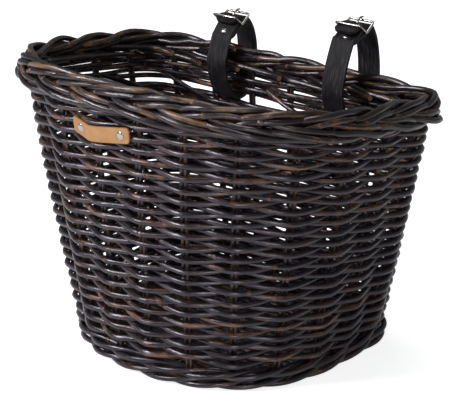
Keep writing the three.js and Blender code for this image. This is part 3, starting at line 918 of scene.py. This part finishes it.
@dataclass
class Stakes:
    """Upright pairs of thin canes."""

    shell: Shell
    cane: float = 4.0
    pitch: float = 3.9
    foot: float = 2.6
    under_rim: float = 8.0
    steps: int = 14
    wobble: Drift = Drift(0.6, 0.5)
    thin: Span = (0.93, 1.04)
    shades: Span = (0.2, 1.0)
    seed: int = 5

    def _line(self, share: float, aside: float, seed: float) -> list[Vector]:
        """Points of one cane.

        Args:
            share: Share of the way round.
            aside: How far it stands beside the pair's middle.
            seed: Its unevenness.

        Returns:
            The points, from the foot up.
        """
        top = self.shell.on_rim(share).z - self.under_rim
        points = []
        for k in range(self.steps + 1):
            point, out = self.shell.wall(share, self.foot + (top - self.foot) * k / self.steps)
            along = Vector((-out.y, out.x, 0.0))
            points.append(point + along * (aside + self.wobble.at(k, seed)))
        return points

    def build(self) -> None:
        """Builds one piece for each stake."""
        luck = random.Random(self.seed)
        for i in range(self.shell.stakes):
            work = RodWork(f"stake_pair_{i + 1:02d}", CANE_STAKE)
            for aside in (-self.pitch / 2.0, self.pitch / 2.0):
                seed = luck.random()
                points = self._line(self.shell.stake_share(i), aside, seed)
                radius = self.cane / 2.0 * luck.uniform(*self.thin)
                work.lay(Rod(points, radius, seed, luck.uniform(*self.shades)))
            dress(work.build(), "basket", [f"stake_{i + 1:02d}"])


@dataclass
class FootWale:
    """Courses of three rods twisted round the foot, each rod outside two stakes and inside the third."""

    shell: Shell
    cane: float = 5.5
    out: float = 1.6
    sway: float = 6.0
    rods: int = 3
    courses: tuple[float, ...] = (5.6, 14.9)
    rise: float = 2.7
    wobble: Drift = Drift(1.0, 0.5)
    steps: int = 10
    seed: int = 23

    def _line(self, course: float, place: int, seed: float) -> list[Vector]:
        """Points of one rod.

        Args:
            course: Height of its course.
            place: Which of the rods of the course.
            seed: Its unevenness.

        Returns:
            The points of a closed line.
        """
        points = []
        for k in range(self.shell.stakes * self.steps):
            x = k / self.steps
            turn = 2.0 * math.pi * (x + place) / self.rods
            z = course - self.rise * math.sin(turn) + self.wobble.at(x, seed)
            point, out = self.shell.wall(self.shell.stake_share(x), z)
            points.append(point + out * (self.out - self.sway * math.cos(turn)))
        return points

    def build(self) -> None:
        """Builds the rods, one of each course in a piece."""
        luck = random.Random(self.seed)
        for place in range(self.rods):
            work = RodWork(f"foot_twist_{place + 1}", CANE)
            for course in self.courses:
                seed = luck.random()
                points = self._line(course, place, seed)
                work.lay(Rod(points, self.cane / 2.0, seed, luck.random(), closed=True))
            dress(work.build(), "basket", [f"foot_wale_{place + 1}"])


@dataclass
class Weave:
    """The plain weave of the wall: spirals of single canes, outside one stake and inside the next."""

    shell: Shell
    cane: float = 5.95
    thin: Span = (0.84, 1.06)
    sway: float = 5.2
    sag: float = 1.1
    sharp: float = 0.94
    wander: Drift = Drift(0.7, 2.1)
    swing: Drift = Drift(0.45, 0.28, 3.0)
    swell: Drift = Drift(0.33, 0.10, 7.0)
    rounds: int = 38
    canes: int = 6
    cane_spans: tuple[int, int] = (46, 74)
    shortest_span: int = 12
    steps: int = 8
    slants: tuple[Span, ...] = ((5.1, 3.7), (3.4, 2.1), (0.55, -0.83))
    slant_thin: float = 0.85
    slant_over: float = 9.0
    slant_under: float = 8.0
    slant_inside: float = 2.0
    slant_bow: float = 5.0
    slant_steps: int = 12
    seed: int = 11

    def _spiral(
        self,
        name: str,
        first: int,
        last: int,
        total: int,
        low: Callable[[float], float],
        high: Callable[[float], float],
        luck: random.Random,
    ) -> bpy.types.Object:
        """One CAD weaver's stretch of the spiral, in lengths of cane that butt inside the wall.

        Args:
            name: Name of the piece.
            first: Crossing at which it starts.
            last: Crossing at which it ends.
            total: Crossings of the whole spiral.
            low: Height of the spiral's start, by share.
            high: Height of its end, by share.
            luck: Seeded source of unevenness.

        Returns:
            The piece.
        """
        shell = self.shell
        work = RodWork(name, CANE)
        start = first
        while start < last:
            stop = min(last, start + luck.randint(*self.cane_spans))
            if last - stop < self.shortest_span:
                stop = last
            seed = luck.random()
            points, taper = [], []
            for k in range((stop - start) * self.steps + 1):
                x = start - 0.5 + k / self.steps
                share = shell.stake_share(shell.seam + x)
                part = min(max(x / total, 0.0), 1.0)
                wave = math.asin(self.sharp * math.cos(math.pi * x)) / math.asin(self.sharp)
                z = low(share) + (high(share) - low(share)) * part + self.wander.at(x, seed) - self.sag * wave
                point, out = shell.wall(share, z)
                points.append(point + out * self.sway * (1.0 + self.swing.at(x, seed)) * wave)
                taper.append(1.0 + self.swell.at(x, seed))
            radius = self.cane / 2.0 * luck.uniform(*self.thin)
            work.lay(Rod(points, radius, seed, luck.random(), taper=taper))
            start = stop
        return work.build()

    def _slants(self, luck: random.Random) -> bpy.types.Object:
        """Loose lengths of cane that slant across the open row inside the stakes.

        Args:
            luck: Seeded source of unevenness.

        Returns:
            The piece.
        """
        shell = self.shell
        work = RodWork("slanting_canes", CANE)
        for high, low in self.slants:
            points = []
            for k in range(self.slant_steps + 1):
                part = k / self.slant_steps
                share = shell.stake_share(high + (low - high) * part)
                top = shell.upper_low(share) + self.slant_over
                foot = shell.weave_high(share) - self.slant_under
                point, out = shell.wall(share, top + (foot - top) * part)
                points.append(point - out * (self.slant_inside + self.slant_bow * math.sin(math.pi * part)))
            work.lay(Rod(points, self.cane / 2.0 * self.slant_thin, luck.random(), luck.random()))
        return work.build()

    def build(self) -> None:
        """Builds the weave below and above the open row, and the canes that slant across it."""
        shell = self.shell
        luck = random.Random(self.seed)
        total = self.rounds * shell.stakes
        for w in range(self.canes):
            first, last = round(w * total / self.canes), round((w + 1) * total / self.canes)
            name = f"wall_weave_{w + 1}"
            piece = self._spiral(name, first, last, total, lambda _: shell.weave_low, shell.weave_high, luck)
            dress(piece, "basket", [f"weaver_{w + 1}"])
        total = shell.upper_rounds * shell.stakes
        piece = self._spiral("upper_weave", 0, total, total, shell.upper_low, shell.upper_high, luck)
        dress(piece, "basket", ["upper_weaver_1"])
        dress(self._slants(luck), "basket")


@dataclass
class Border:
    """The plaited border: strands of two canes that run on into each other, and canes tucked in behind it."""

    shell: Shell
    nodes: int = 3
    strands: int = 5
    cane: float = 6.1
    pair: Span = (-3.1, 3.1)
    sway: float = 8.4
    depth: float = 5.8
    lean: float = 20.0
    turn: float = -30.0
    outset: float = 4.0
    steps: int = 8
    aside: Drift = Drift(2.0, 2.4)
    over: Drift = Drift(2.0, 1.44, 2.0)
    swell: Drift = Drift(0.6, 0.14, 5.0)
    joint_rings: int = 40
    tuck_in: float = 10.4
    tuck_tip: float = 3.5
    tuck_shift: Span = (-0.3, 0.3)
    tuck_spans: Span = (1.3, 1.9)
    tuck_height: Span = (-7.0, 0.0)
    tuck_fall: Span = (2.0, 6.0)
    tuck_thin: Span = (0.75, 0.95)
    tuck_steps: int = 18
    seed: int = 41

    def _face(self, share: float) -> tuple[Vector, Vector]:
        """The plait's face, which leans back.

        Args:
            share: Share of the way round.

        Returns:
            The ways out of the face and up across it.
        """
        lean = math.radians(self.lean)
        out = self.shell.outward(self.shell.on_rim, share)
        return out * math.cos(lean) + UP * math.sin(lean), UP * math.cos(lean) - out * math.sin(lean)

    def _middle(self, share: float) -> Vector:
        """Middle of the strand.

        Args:
            share: Share of the way round, counted on over all its rounds.

        Returns:
            The point.
        """
        turn = 2.0 * math.pi * share * self.shell.stakes / self.strands + math.radians(self.turn)
        out, wide = self._face(share)
        place = self.shell.on_rim(share) + wide * self.sway * math.sin(turn)
        return place + out * (self.outset + self.depth * math.sin(2.0 * turn))

    def _plait(self, luck: random.Random) -> bpy.types.Object:
        """The plait, each cane of which goes round once for every strand.

        Args:
            luck: Seeded source of unevenness.

        Returns:
            The piece.
        """
        work = RodWork("plaited_border", CANE_BORDER)
        rings = self.shell.stakes * self.steps * self.strands
        step = 0.5 * self.strands / rings
        for across in self.pair:
            seed = luck.random()
            points, taper = [], []
            for ring in range(rings):
                share = self.strands * ring / rings
                along = (self._middle(share + step) - self._middle(share - step)).normalized()
                side = self._face(share)[0].cross(along).normalized()
                x = ring / self.steps
                ease = min(1.0, ring / self.joint_rings, (rings - ring) / self.joint_rings)
                spread = side * (across + self.aside.at(x, seed) * ease)
                spread += along.cross(side) * self.over.at(x, seed) * ease
                points.append(self._middle(share) + spread)
                taper.append(1.0 + self.swell.at(x, seed) * ease)
            work.lay(Rod(points, self.cane / 2.0, seed, luck.random(), closed=True, taper=taper))
        return work.build()

    def _tucks(self, luck: random.Random) -> bpy.types.Object:
        """Ends of canes that lie along the inside of the plait and are cut off there.

        Args:
            luck: Seeded source of unevenness.

        Returns:
            The piece.
        """
        shell = self.shell
        work = RodWork("tucked_canes", CANE_BORDER, resolution=3, cut_ends=True)
        for i in range(shell.stakes):
            end = i + luck.uniform(*self.tuck_shift)
            spans = luck.uniform(*self.tuck_spans)
            height = luck.uniform(*self.tuck_height)
            fall = luck.uniform(*self.tuck_fall)
            points = []
            for k in range(self.tuck_steps + 1):
                part = k / self.tuck_steps
                share = shell.stake_share(end + spans * (1.0 - part))
                # The cane comes in over its first third, and its tip turns further in over the last fifth.
                inward = self.tuck_in * min(1.0, 3.0 * part) + self.tuck_tip * max(0.0, 5.0 * part - 4.0) ** 2
                place = shell.on_rim(share) - shell.outward(shell.on_rim, share) * inward
                points.append(place + UP * (height + fall * (1.0 - part)))
            radius = self.cane / 2.0 * luck.uniform(*self.tuck_thin)
            work.lay(Rod(points, radius, luck.random(), luck.random()))
        return work.build()

    def build(self) -> None:
        """Builds the plait and the tucked canes."""
        luck = random.Random(self.seed)
        nodes = [f"border_strand_{node + 1}" for node in range(self.nodes)]
        dress(self._plait(luck), "basket", nodes)
        dress(self._tucks(luck), "basket")


# Leather and metal


@dataclass
class Band:
    """A strip of leather along a line, with soft edges, rounded ends and slots."""

    name: str
    hide: Hide
    width: float
    thickness: float
    columns: int
    end_radius: Span
    slot_half: float = 2.1
    soft: float = 0.5
    soft_segments: int = 3
    soft_angle: float = 50.0
    edge_power: int = 6

    def _half_widths(self, places: Sequence[Vector]) -> list[float]:
        """Half the strip's width along its line, less at the rounded ends.

        Args:
            places: Points of the middle line.

        Returns:
            Half the width at each point.
        """
        lengths = np.concatenate([[0.0], np.cumsum([(b - a).length for a, b in zip(places, places[1:])])])
        halves = []
        for length in lengths:
            half = self.width / 2.0
            for radius, gap in zip(self.end_radius, (length, lengths[-1] - length)):
                if gap < radius:
                    half = min(half, self.width / 2.0 - radius + math.sqrt(radius**2 - (radius - gap) ** 2))
            halves.append(half)
        return halves

    def _soften(self, piece: bpy.types.Object) -> None:
        """Gives the strip its thickness and soft edges.

        Args:
            piece: The strip.
        """
        solid = piece.modifiers.new("thickness", "SOLIDIFY")
        solid.thickness = self.thickness * MM
        solid.offset = 0.0
        solid.use_even_offset = True
        soft = piece.modifiers.new("soft_edges", "BEVEL")
        soft.width = self.soft * MM
        soft.segments = self.soft_segments
        soft.limit_method = "ANGLE"
        soft.angle_limit = math.radians(self.soft_angle)
        soft.harden_normals = False

    def build(
        self, line: Sequence[tuple[Vector, Vector]], slots: Sequence[tuple[int, int]] = ()
    ) -> bpy.types.Object:
        """Extrudes an edge across the strip along the line, then gives it its thickness.

        Args:
            line: Points of the middle line, each with the direction across the strip.
            slots: Ranges of points between which the middle is open.

        Returns:
            The piece, linked to the scene.
        """
        work = bmesh.new()
        rim = work.verts.layers.float.new("edge")
        halves = self._half_widths([point for point, _ in line])
        stations = [2.0 * k / self.columns - 1.0 for k in range(self.columns + 1)]
        point, across = line[0]
        row = [work.verts.new((point + across * halves[0] * station) * MM) for station in stations]
        edges = [work.edges.new(pair) for pair in zip(row, row[1:])]
        opened = []
        for i, (point, across) in enumerate(line[1:], start=1):
            made = bmesh.ops.extrude_edge_only(work, edges=edges)["geom"]
            last, way = line[i - 1]
            heads = [v for v in made if isinstance(v, bmesh.types.BMVert)]
            heads.sort(key=lambda v: (v.co / MM - last).dot(way))
            for vert, station in zip(heads, stations):
                vert.co = (point + across * halves[i] * station) * MM
                vert[rim] = abs(station) ** self.edge_power
            edges = [e for e in made if isinstance(e, bmesh.types.BMEdge)]
            if any(low < i <= high for low, high in slots):
                middle = (last + point) / 2.0
                for face in (f for f in made if isinstance(f, bmesh.types.BMFace)):
                    if abs((face.calc_center_median() / MM - middle).dot(across)) < self.slot_half:
                        opened.append(face)
        bmesh.ops.delete(work, geom=opened, context="FACES")
        bmesh.ops.recalc_face_normals(work, faces=work.faces)
        piece = piece_of(work, self.name, [shared(LEATHERS[self.hide])], smooth=True)
        self._soften(piece)
        return piece


@dataclass
class Rivet:
    """A nickel rivet with a domed head on the leather and a flat burr behind it."""

    name: str
    seat: Vector
    inward: Vector
    grip: float
    head: float
    rise: float
    shank: float = 1.4
    lip: float = 0.02
    burr_edge: float = 0.8
    burr: float = 1.1
    steps: int = 28
    weld: float = 1e-7

    def _profile(self) -> list[Span]:
        """The rivet's half section.

        Returns:
            Pairs of (radius, depth under the head's seat), from the dome's top to the burr's middle.
        """
        head, rise, grip = self.head, self.rise, self.grip
        dome = [
            (0.0, -rise),
            (0.4 * head, -0.93 * rise),
            (0.72 * head, -0.66 * rise),
            (0.93 * head, -0.28 * rise),
        ]
        stem = [(head, 0.0), (self.shank, self.lip), (self.shank, grip - self.lip), (0.9 * head, grip)]
        burr = [(0.9 * head, grip + self.burr_edge), (0.55 * head, grip + self.burr), (0.0, grip + self.burr)]
        return dome + stem + burr

    def build(self) -> bpy.types.Object:
        """Spins the half section and sets the rivet in its place.

        Returns:
            The piece, linked to the scene.
        """
        work = bmesh.new()
        verts = [work.verts.new((r * MM, 0.0, z * MM)) for r, z in self._profile()]
        edges = [work.edges.new(pair) for pair in zip(verts, verts[1:])]
        bmesh.ops.spin(
            work,
            geom=verts + edges,
            cent=(0.0, 0.0, 0.0),
            axis=UP,
            angle=2.0 * math.pi,
            steps=self.steps,
            use_merge=True,
        )
        bmesh.ops.remove_doubles(work, verts=work.verts, dist=self.weld)
        bmesh.ops.recalc_face_normals(work, faces=work.faces)
        turn = UP.rotation_difference(self.inward).to_matrix().to_4x4()
        bmesh.ops.transform(work, matrix=Matrix.Translation(self.seat * MM) @ turn, verts=work.verts)
        return piece_of(work, self.name, [shared(NICKEL)], smooth=True)


def spline(points: Sequence[Span], steps: int) -> list[Vector]:
    """A smooth line through points in the strap's plane.

    Args:
        points: Pairs of (backwards, upwards).
        steps: Points made for each span.

    Returns:
        Points with the pair in x and y.
    """
    line = []
    count = len(points)
    for i in range(count - 1):
        p0, p1, p2, p3 = (Vector(points[min(max(k, 0), count - 1)]) for k in (i - 1, i, i + 1, i + 2))
        slope, bend, twist = p2 - p0, 2 * p0 - 5 * p1 + 4 * p2 - p3, 3 * p1 - p0 - 3 * p2 + p3
        for t in (k / steps for k in range(steps)):
            line.append(0.5 * (2 * p1 + slope * t + bend * t**2 + twist * t**3))
    line.append(Vector(points[-1]))
    return line


@dataclass
class Strap:
    """A leather strap looped round the back of the border, with its buckle, prong and rivet."""

    shell: Shell
    side: Side
    rise: float
    front: float
    end: float
    lean: float
    width: float = 24.0
    thickness: float = 2.8
    columns: int = 12
    end_radius: Span = (7.0, 5.5)
    line_steps: int = 5
    reach: float = 25.0
    flap: float = 19.0
    fold_spans: int = 9
    fold_slack: float = 0.2
    bar_radius: float = 1.4
    wire_radius: float = 1.25
    wire_resolution: int = 4
    frame_reach: float = 11.0
    frame_rise: float = 8.0
    frame_gap: float = 0.8
    prong_radius: float = 1.1
    prong_eye: tuple[int, int, int] = (-20, -261, -20)
    prong_steps: int = 3
    prong_tip: tuple[float, ...] = (0.92, 0.82, 0.7, 0.5)
    hole: Span = (-2.0, 7.0)
    hole_height: float = 0.7
    gap: float = 0.3
    rivet_place: float = 12.5
    rivet_head: float = 3.6
    rivet_rise: float = 1.3
    rivet_gap: float = 0.05
    stake_gap: float = 1.5

    @property
    def seat(self) -> Vector:
        """Middle of the border inside the loop."""
        return self.shell.on_rim(0.5 - self.side.value * self.stake_gap / self.shell.stakes)

    @property
    def fold(self) -> float:
        """Radius of the leather's middle round the buckle's bar."""
        return self.bar_radius + self.gap + self.thickness / 2.0

    @property
    def tail(self) -> float:
        """Height of the tail's middle over the bar."""
        return self.fold + self.thickness + self.gap

    @property
    def bar(self) -> float:
        """Height of the bar over the middle of the border."""
        return self.rise - self.tail - self.thickness / 2.0

    @property
    def bottom(self) -> float:
        """Height of the leather's middle where it passes under the border."""
        low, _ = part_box(f"strap_{self.side.word}")
        return low.z / MM + self.thickness / 2.0 - self.seat.z

    def by_fold(self, along: float, out: float) -> Span:
        """Pair of (backwards, upwards) for a place so far down the folded end and so far out of it."""
        cos, sin = math.cos(math.radians(self.lean)), math.sin(math.radians(self.lean))
        return -cos * along - sin * out, self.bar - sin * along + cos * out

    def place(self, pair: Sequence[float], x: float = 0.0) -> Vector:
        """A place in the strap's plane as a point of the part."""
        return self.seat + Vector((x, pair[0], pair[1]))

    def line(self) -> list[Vector]:
        """Middle line of the leather, from the flap round the bar and the border and back over the bar.

        Returns:
            Points in the strap's plane.
        """
        fold, leg, front, end, bar, tail = self.fold, self.reach, self.front, self.end, self.bar, self.tail
        bottom = self.bottom
        inner = fold - self.thickness - self.gap
        near = self.rivet_place - self.rivet_head
        shoulder = self.by_fold(self.flap, fold)
        folded_end = [
            self.by_fold(self.flap, inner),
            self.by_fold(self.rivet_place, inner),
            self.by_fold(near, inner),
            self.by_fold(near / 2.0, (inner - fold) / 2.0),
            self.by_fold(0.0, -fold),
            self.by_fold(-0.71 * fold, -0.71 * fold),
            self.by_fold(-fold, 0.0),
            self.by_fold(-0.71 * fold, 0.71 * fold),
            self.by_fold(0.0, fold),
            self.by_fold(near / 2.0, fold),
            self.by_fold(near, fold),
            self.by_fold(self.rivet_place, fold),
            self.by_fold(self.rivet_place + self.rivet_head, fold),
            shoulder,
        ]
        front_leg = [
            (-0.84 * front, 0.55 * shoulder[1]),
            (-front, 0.1 * shoulder[1]),
            (-0.96 * front, 0.2 * bottom),
            (-0.82 * front, 0.5 * bottom),
            (-0.5 * front, 0.86 * bottom),
            (0.0, bottom),
        ]
        back_leg = [
            (0.62 * leg, 0.86 * bottom),
            (0.93 * leg, 0.48 * bottom),
            (leg, 0.0),
            (0.97 * leg, 0.4 * bar),
            (0.8 * leg, 0.78 * bar),
            (0.52 * leg, bar + 0.3 * tail),
            (0.26 * leg, bar + 0.86 * tail),
        ]
        tail_end = [
            (0.0, bar + tail),
            (-0.33 * end, bar + 0.96 * tail),
            (-0.72 * end, bar + 0.6 * tail),
            (-end, bar + 0.25 * tail),
        ]
        return spline(folded_end + front_leg + back_leg + tail_end, self.line_steps)

    def _band(self) -> bpy.types.Object:
        """The leather, open in the fold and the tail where the prong stands.

        Returns:
            The piece.
        """
        line = self.line()
        bar = Vector((0.0, self.bar))
        low, high = self.hole
        top = self.bar + self.hole_height * self.tail
        hole = [i for i, p in enumerate(line) if p.y > top and low < p.x < high]
        folded = line[: self.fold_spans * self.line_steps]
        bend = [i for i, p in enumerate(folded) if (p - bar).length < self.fold + self.fold_slack]
        name = f"leather_strap_{self.side.word}"
        band = Band(name, Hide.BLACK, self.width, self.thickness, self.columns, self.end_radius)
        across = Vector((1.0, 0.0, 0.0))
        return band.build([(self.place(p), across) for p in line], [(hole[0], hole[-1]), (bend[0], bend[-1])])

    def _frame(self) -> bpy.types.Object:
        """The buckle, a loop that dips to its middle bar on both sides.

        Returns:
            The piece.
        """
        half = self.width / 2.0 + self.frame_gap + self.wire_radius
        reach, rise = self.frame_reach, self.frame_rise
        dip = [
            (half - 2.6, -reach, rise),
            (half - 0.9, 0.25 - reach, rise - 0.2),
            (half, 1.6 - reach, rise - 1.1),
            (half, -2.4, 1.6),
            (half, -0.9, 0.35),
        ]
        quarter = [Vector(p) for p in dip]
        back = [Vector((p.x, -p.y, p.z)) for p in reversed(quarter)]
        right = quarter + [Vector((half, 0.0, 0.05))] + back
        left = [Vector((-p.x, p.y, p.z)) for p in reversed(right)]
        middle = self.place((0.0, self.bar))
        work = RodWork(f"buckle_{self.side.word}", NICKEL, self.wire_resolution)
        work.lay(Rod([middle + p for p in right + left], self.wire_radius, closed=True))
        bar = [self.place((0.0, self.bar), x) for x in (-half, -half / 2.0, 0.0, half / 2.0, half)]
        work.lay(Rod(bar, self.wire_radius))
        return work.build()

    def _prong(self) -> bpy.types.Object:
        """The prong, from its eye round the bar to its rest on the rear end bar.

        Returns:
            The piece.
        """
        eye = self.bar_radius + self.gap + self.prong_radius
        rest = self.frame_rise + self.wire_radius + self.gap + self.prong_radius
        ring = [math.radians(a) for a in range(*self.prong_eye)]
        pairs = [(eye * math.cos(a), eye * math.sin(a)) for a in ring]
        pairs += [
            (0.75 * eye, 1.35 * eye),
            (1.35 * eye, 0.62 * rest),
            (2.2 * eye, 0.92 * rest),
            (self.frame_reach, rest),
            (self.frame_reach + 2.0 * self.wire_radius, 0.98 * rest),
        ]
        points = [self.place((p.x, p.y + self.bar)) for p in spline(pairs, self.prong_steps)]
        taper = [1.0] * (len(points) - len(self.prong_tip)) + list(self.prong_tip)
        work = RodWork(f"prong_{self.side.word}", NICKEL, self.wire_resolution)
        work.lay(Rod(points, self.prong_radius, taper=taper))
        return work.build()

    def _rivet(self) -> bpy.types.Object:
        """The rivet through the folded end.

        Returns:
            The piece.
        """
        lean = math.radians(self.lean)
        seat = self.place(self.by_fold(self.rivet_place, self.fold + self.thickness / 2.0 + self.rivet_gap))
        return Rivet(
            f"fold_rivet_{self.side.word}",
            seat,
            inward=Vector((0.0, math.sin(lean), -math.cos(lean))),
            grip=2.0 * (self.thickness + self.rivet_gap) + self.gap,
            head=self.rivet_head,
            rise=self.rivet_rise,
        ).build()

    def build(self) -> None:
        """Builds and dresses the strap's pieces."""
        word = self.side.word
        dress(self._band(), f"strap_{word}", [f"strap_{word}"])
        dress(self._rivet(), f"strap_{word}", [f"strap_rivet_{word}"])
        dress(self._frame(), f"buckle_{word}", [f"buckle_frame_{word}"])
        dress(self._prong(), f"prong_{word}", [f"buckle_prong_{word}"])


@dataclass
class Tag:
    """The bare tan tag on the front, bent over the weave and held by two rivets."""

    shell: Shell
    middle: float = -12.0
    length: float = 73.0
    height: float = 15.0
    thickness: float = 2.0
    columns: int = 8
    corner: float = 2.6
    rivet_inset: float = 10.0
    rivet_head: float = 4.1
    rivet_rise: float = 1.1
    rivet_gap: float = 0.05
    burr_depth: float = 13.0
    reach: float = 8.6
    recess: float = 4.2
    drop: float = 4.4
    tilt: float = 0.17
    lift: float = 0.27
    bend_place: float = -17.0
    bend_length: float = 7.0
    bow: float = 6.0
    girth: float = 1008.0
    tries: int = 12
    steps: int = 38

    def _place(self, along: float) -> tuple[Vector, Vector, Vector]:
        """A place on the tag's middle. The tag steps in towards the wall left of its bend.

        Args:
            along: Distance along the tag from its middle.

        Returns:
            The point on its back, the way out and the way up the wall.
        """
        shell = self.shell
        low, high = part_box("leather_tag")
        past = along - self.bend_place
        bow = math.hypot(past, self.bow) - self.bow
        z = (low.z + high.z) / 2.0 / MM - self.drop + bow * (self.tilt if past > 0.0 else self.lift)
        share = (self.middle + along) / self.girth
        for _ in range(self.tries):
            point, out = shell.wall(share, z)
            share += (self.middle + along - point.x) / self.girth
        point, out = shell.wall(share, z)
        up = (shell.on_rim(share) - shell.on_foot(share)).normalized()
        face = Vector((-out.y, out.x, 0.0)).cross(up).normalized()
        stepped_in = 0.5 - 0.5 * math.tanh(past / self.bend_length)
        return point + face * (self.reach - self.recess * stepped_in), face, up

    def build(self) -> None:
        """Builds the tag and its rivets."""
        line = []
        for k in range(self.steps + 1):
            point, face, up = self._place(self.length * (k / self.steps - 0.5))
            line.append((point + face * self.thickness / 2.0, up))
        corners = (self.corner, self.corner)
        band = Band("tan_tag", Hide.TAN, self.height, self.thickness, self.columns, corners)
        dress(band.build(line), "basket", ["leather_tag"])
        for i, end in enumerate((-1.0, 1.0)):
            point, face, _ = self._place(end * (self.length / 2.0 - self.rivet_inset))
            seat = point + face * (self.thickness + self.rivet_gap)
            grip = self.thickness + self.burr_depth
            rivet = Rivet(f"tag_rivet_head_{i + 1}", seat, -face, grip, self.rivet_head, self.rivet_rise)
            dress(rivet.build(), "basket", [f"tag_rivet_{i + 1}"])


# Studio


@dataclass(frozen=True)
class Lamp:
    """A soft square lamp: where it hangs and what it faces in metres, its side, its watts and its colour."""

    name: str
    place: tuple[float, float, float]
    target: tuple[float, float, float]
    size: float
    power: float
    colour: tuple[float, float, float] = (1.0, 1.0, 1.0)

    def hang(self) -> None:
        """Adds the lamp to the scene."""
        data = bpy.data.lights.new(self.name, "AREA")
        data.size = self.size
        data.energy = self.power
        data.color = self.colour
        lamp = bpy.data.objects.new(self.name, data)
        way = Vector(self.target) - Vector(self.place)
        lamp.matrix_world = Matrix.Translation(self.place) @ way.to_track_quat("-Z", "Y").to_matrix().to_4x4()
        bpy.context.collection.objects.link(lamp)


@dataclass
class Studio:
    """Floor, light and camera."""

    azimuth: float = 40.99
    elevation: float = 20.10
    distance: float = 1553.4
    focal: float = 1628.6
    frame_width: float = 450.0
    sensor_width: float = 36.0
    sight: float = 20.0
    aside: float = 1.32
    height: float = 129.36
    white: Colour = (1.0, 1.0, 1.0, 1.0)
    soft_light: Colour = (0.88, 0.94, 1.0, 1.0)
    soft_strength: float = 0.10
    mirror_share: float = 0.1
    floor_size: float = 9.0
    floor_pale: Colour = (0.93, 0.93, 0.93, 1.0)
    floor_rough: float = 0.95
    floor_glow: float = 0.78
    lamps: tuple[Lamp, ...] = (
        Lamp("key_lamp", (-1.25, -1.85, 1.6), (0.0, 0.0, 0.12), 0.9, 56.0, (0.97, 0.97, 1.0)),
        Lamp("fill_lamp", (1.5, -2.1, 0.9), (0.0, 0.0, 0.15), 0.7, 17.0, (0.97, 0.97, 1.0)),
        Lamp("top_lamp", (-0.1, 0.1, 2.4), (0.0, 0.0, 0.1), 1.0, 15.0),
    )

    def _camera(self) -> None:
        """Places the camera at the photograph's angle."""
        a, e = math.radians(self.azimuth), math.radians(self.elevation)
        right = Vector((math.cos(a), math.sin(a), 0.0))
        back = Vector((math.sin(a) * math.cos(e), -math.cos(a) * math.cos(e), math.sin(e)))
        up = back.cross(right)
        place = (right * self.aside + UP * self.height + back * self.distance) * MM
        data = bpy.data.cameras.new("camera")
        data.sensor_fit = "HORIZONTAL"
        data.sensor_width = self.sensor_width
        data.lens = self.focal * self.sensor_width / self.frame_width
        data.clip_end = self.sight
        camera = bpy.data.objects.new("camera", data)
        camera.matrix_world = Matrix.Translation(place) @ Matrix((right, up, back)).transposed().to_4x4()
        bpy.context.collection.objects.link(camera)
        bpy.context.scene.camera = camera

    def _seen(self, web: NodeWeb) -> bpy.types.NodeSocket:
        """How much of the white surroundings a ray sees. Reflections get a share, so the lacquer stays dark.

        Args:
            web: Node tree to work in.

        Returns:
            1 straight ahead and through glass, the mirror share in reflections and 0 as light.
        """
        path = web.add("LightPath").outputs
        straight = web.math("MAXIMUM", path["Is Camera Ray"], path["Is Transmission Ray"])
        return web.math("MAXIMUM", straight, web.math("MULTIPLY", path["Is Glossy Ray"], self.mirror_share))

    def _world(self) -> None:
        """Surroundings that are white where they are seen and softer as light."""
        world = bpy.data.worlds.new("surroundings")
        world.use_nodes = True
        bpy.context.scene.world = world
        web = NodeWeb(world.node_tree)
        soft, white = web.tree.nodes["Background"], web.add("Background")
        shades = ((soft, self.soft_light, self.soft_strength), (white, self.white, 1.0))
        for shade, colour, strength in shades:
            web.join(colour, shade.inputs["Color"])
            web.join(strength, shade.inputs["Strength"])
        mix = web.add("MixShader")
        for source, socket in zip((self._seen(web), soft.outputs[0], white.outputs[0]), mix.inputs):
            web.join(source, socket)
        web.join(mix.outputs[0], web.tree.nodes["World Output"].inputs["Surface"])

    def _floor(self) -> None:
        """A pale floor that keeps the basket's shadow."""
        web = MaterialWeb("floor_pale")
        web.give("Base Color", self.floor_pale)
        web.give("Roughness", self.floor_rough)
        web.give("Specular IOR Level", 0.0)
        web.give("Emission Color", self.white)
        web.give("Emission Strength", web.math("MULTIPLY", self._seen(web), self.floor_glow))
        work = bmesh.new()
        bmesh.ops.create_grid(work, x_segments=2, y_segments=2, size=self.floor_size)
        floor = piece_of(work, "floor", [web.material])

    def build(self) -> None:
        """Sets up camera, surroundings, floor, lamps and view."""
        self._camera()
        self._world()
        self._floor()
        for lamp in self.lamps:
            lamp.hang()
        bpy.context.scene.view_settings.view_transform = "Standard"


def main() -> None:
    """Builds the basket on its frame, piece by piece."""
    logging.basicConfig(level=logging.INFO, format="%(name)s %(message)s")
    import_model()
    shell = Shell()
    Studio().build()
    BaseMat(shell).build()
    Stakes(shell).build()
    FootWale(shell).build()
    Weave(shell).build()
    Border(shell).build()
    Strap(shell, Side.LEFT, rise=46.2, front=22.0, end=11.5, lean=50.0).build()
    Strap(shell, Side.RIGHT, rise=62.3, front=31.5, end=18.0, lean=33.0).build()
    Tag(shell).build()


if __name__ == "__main__":
    main()
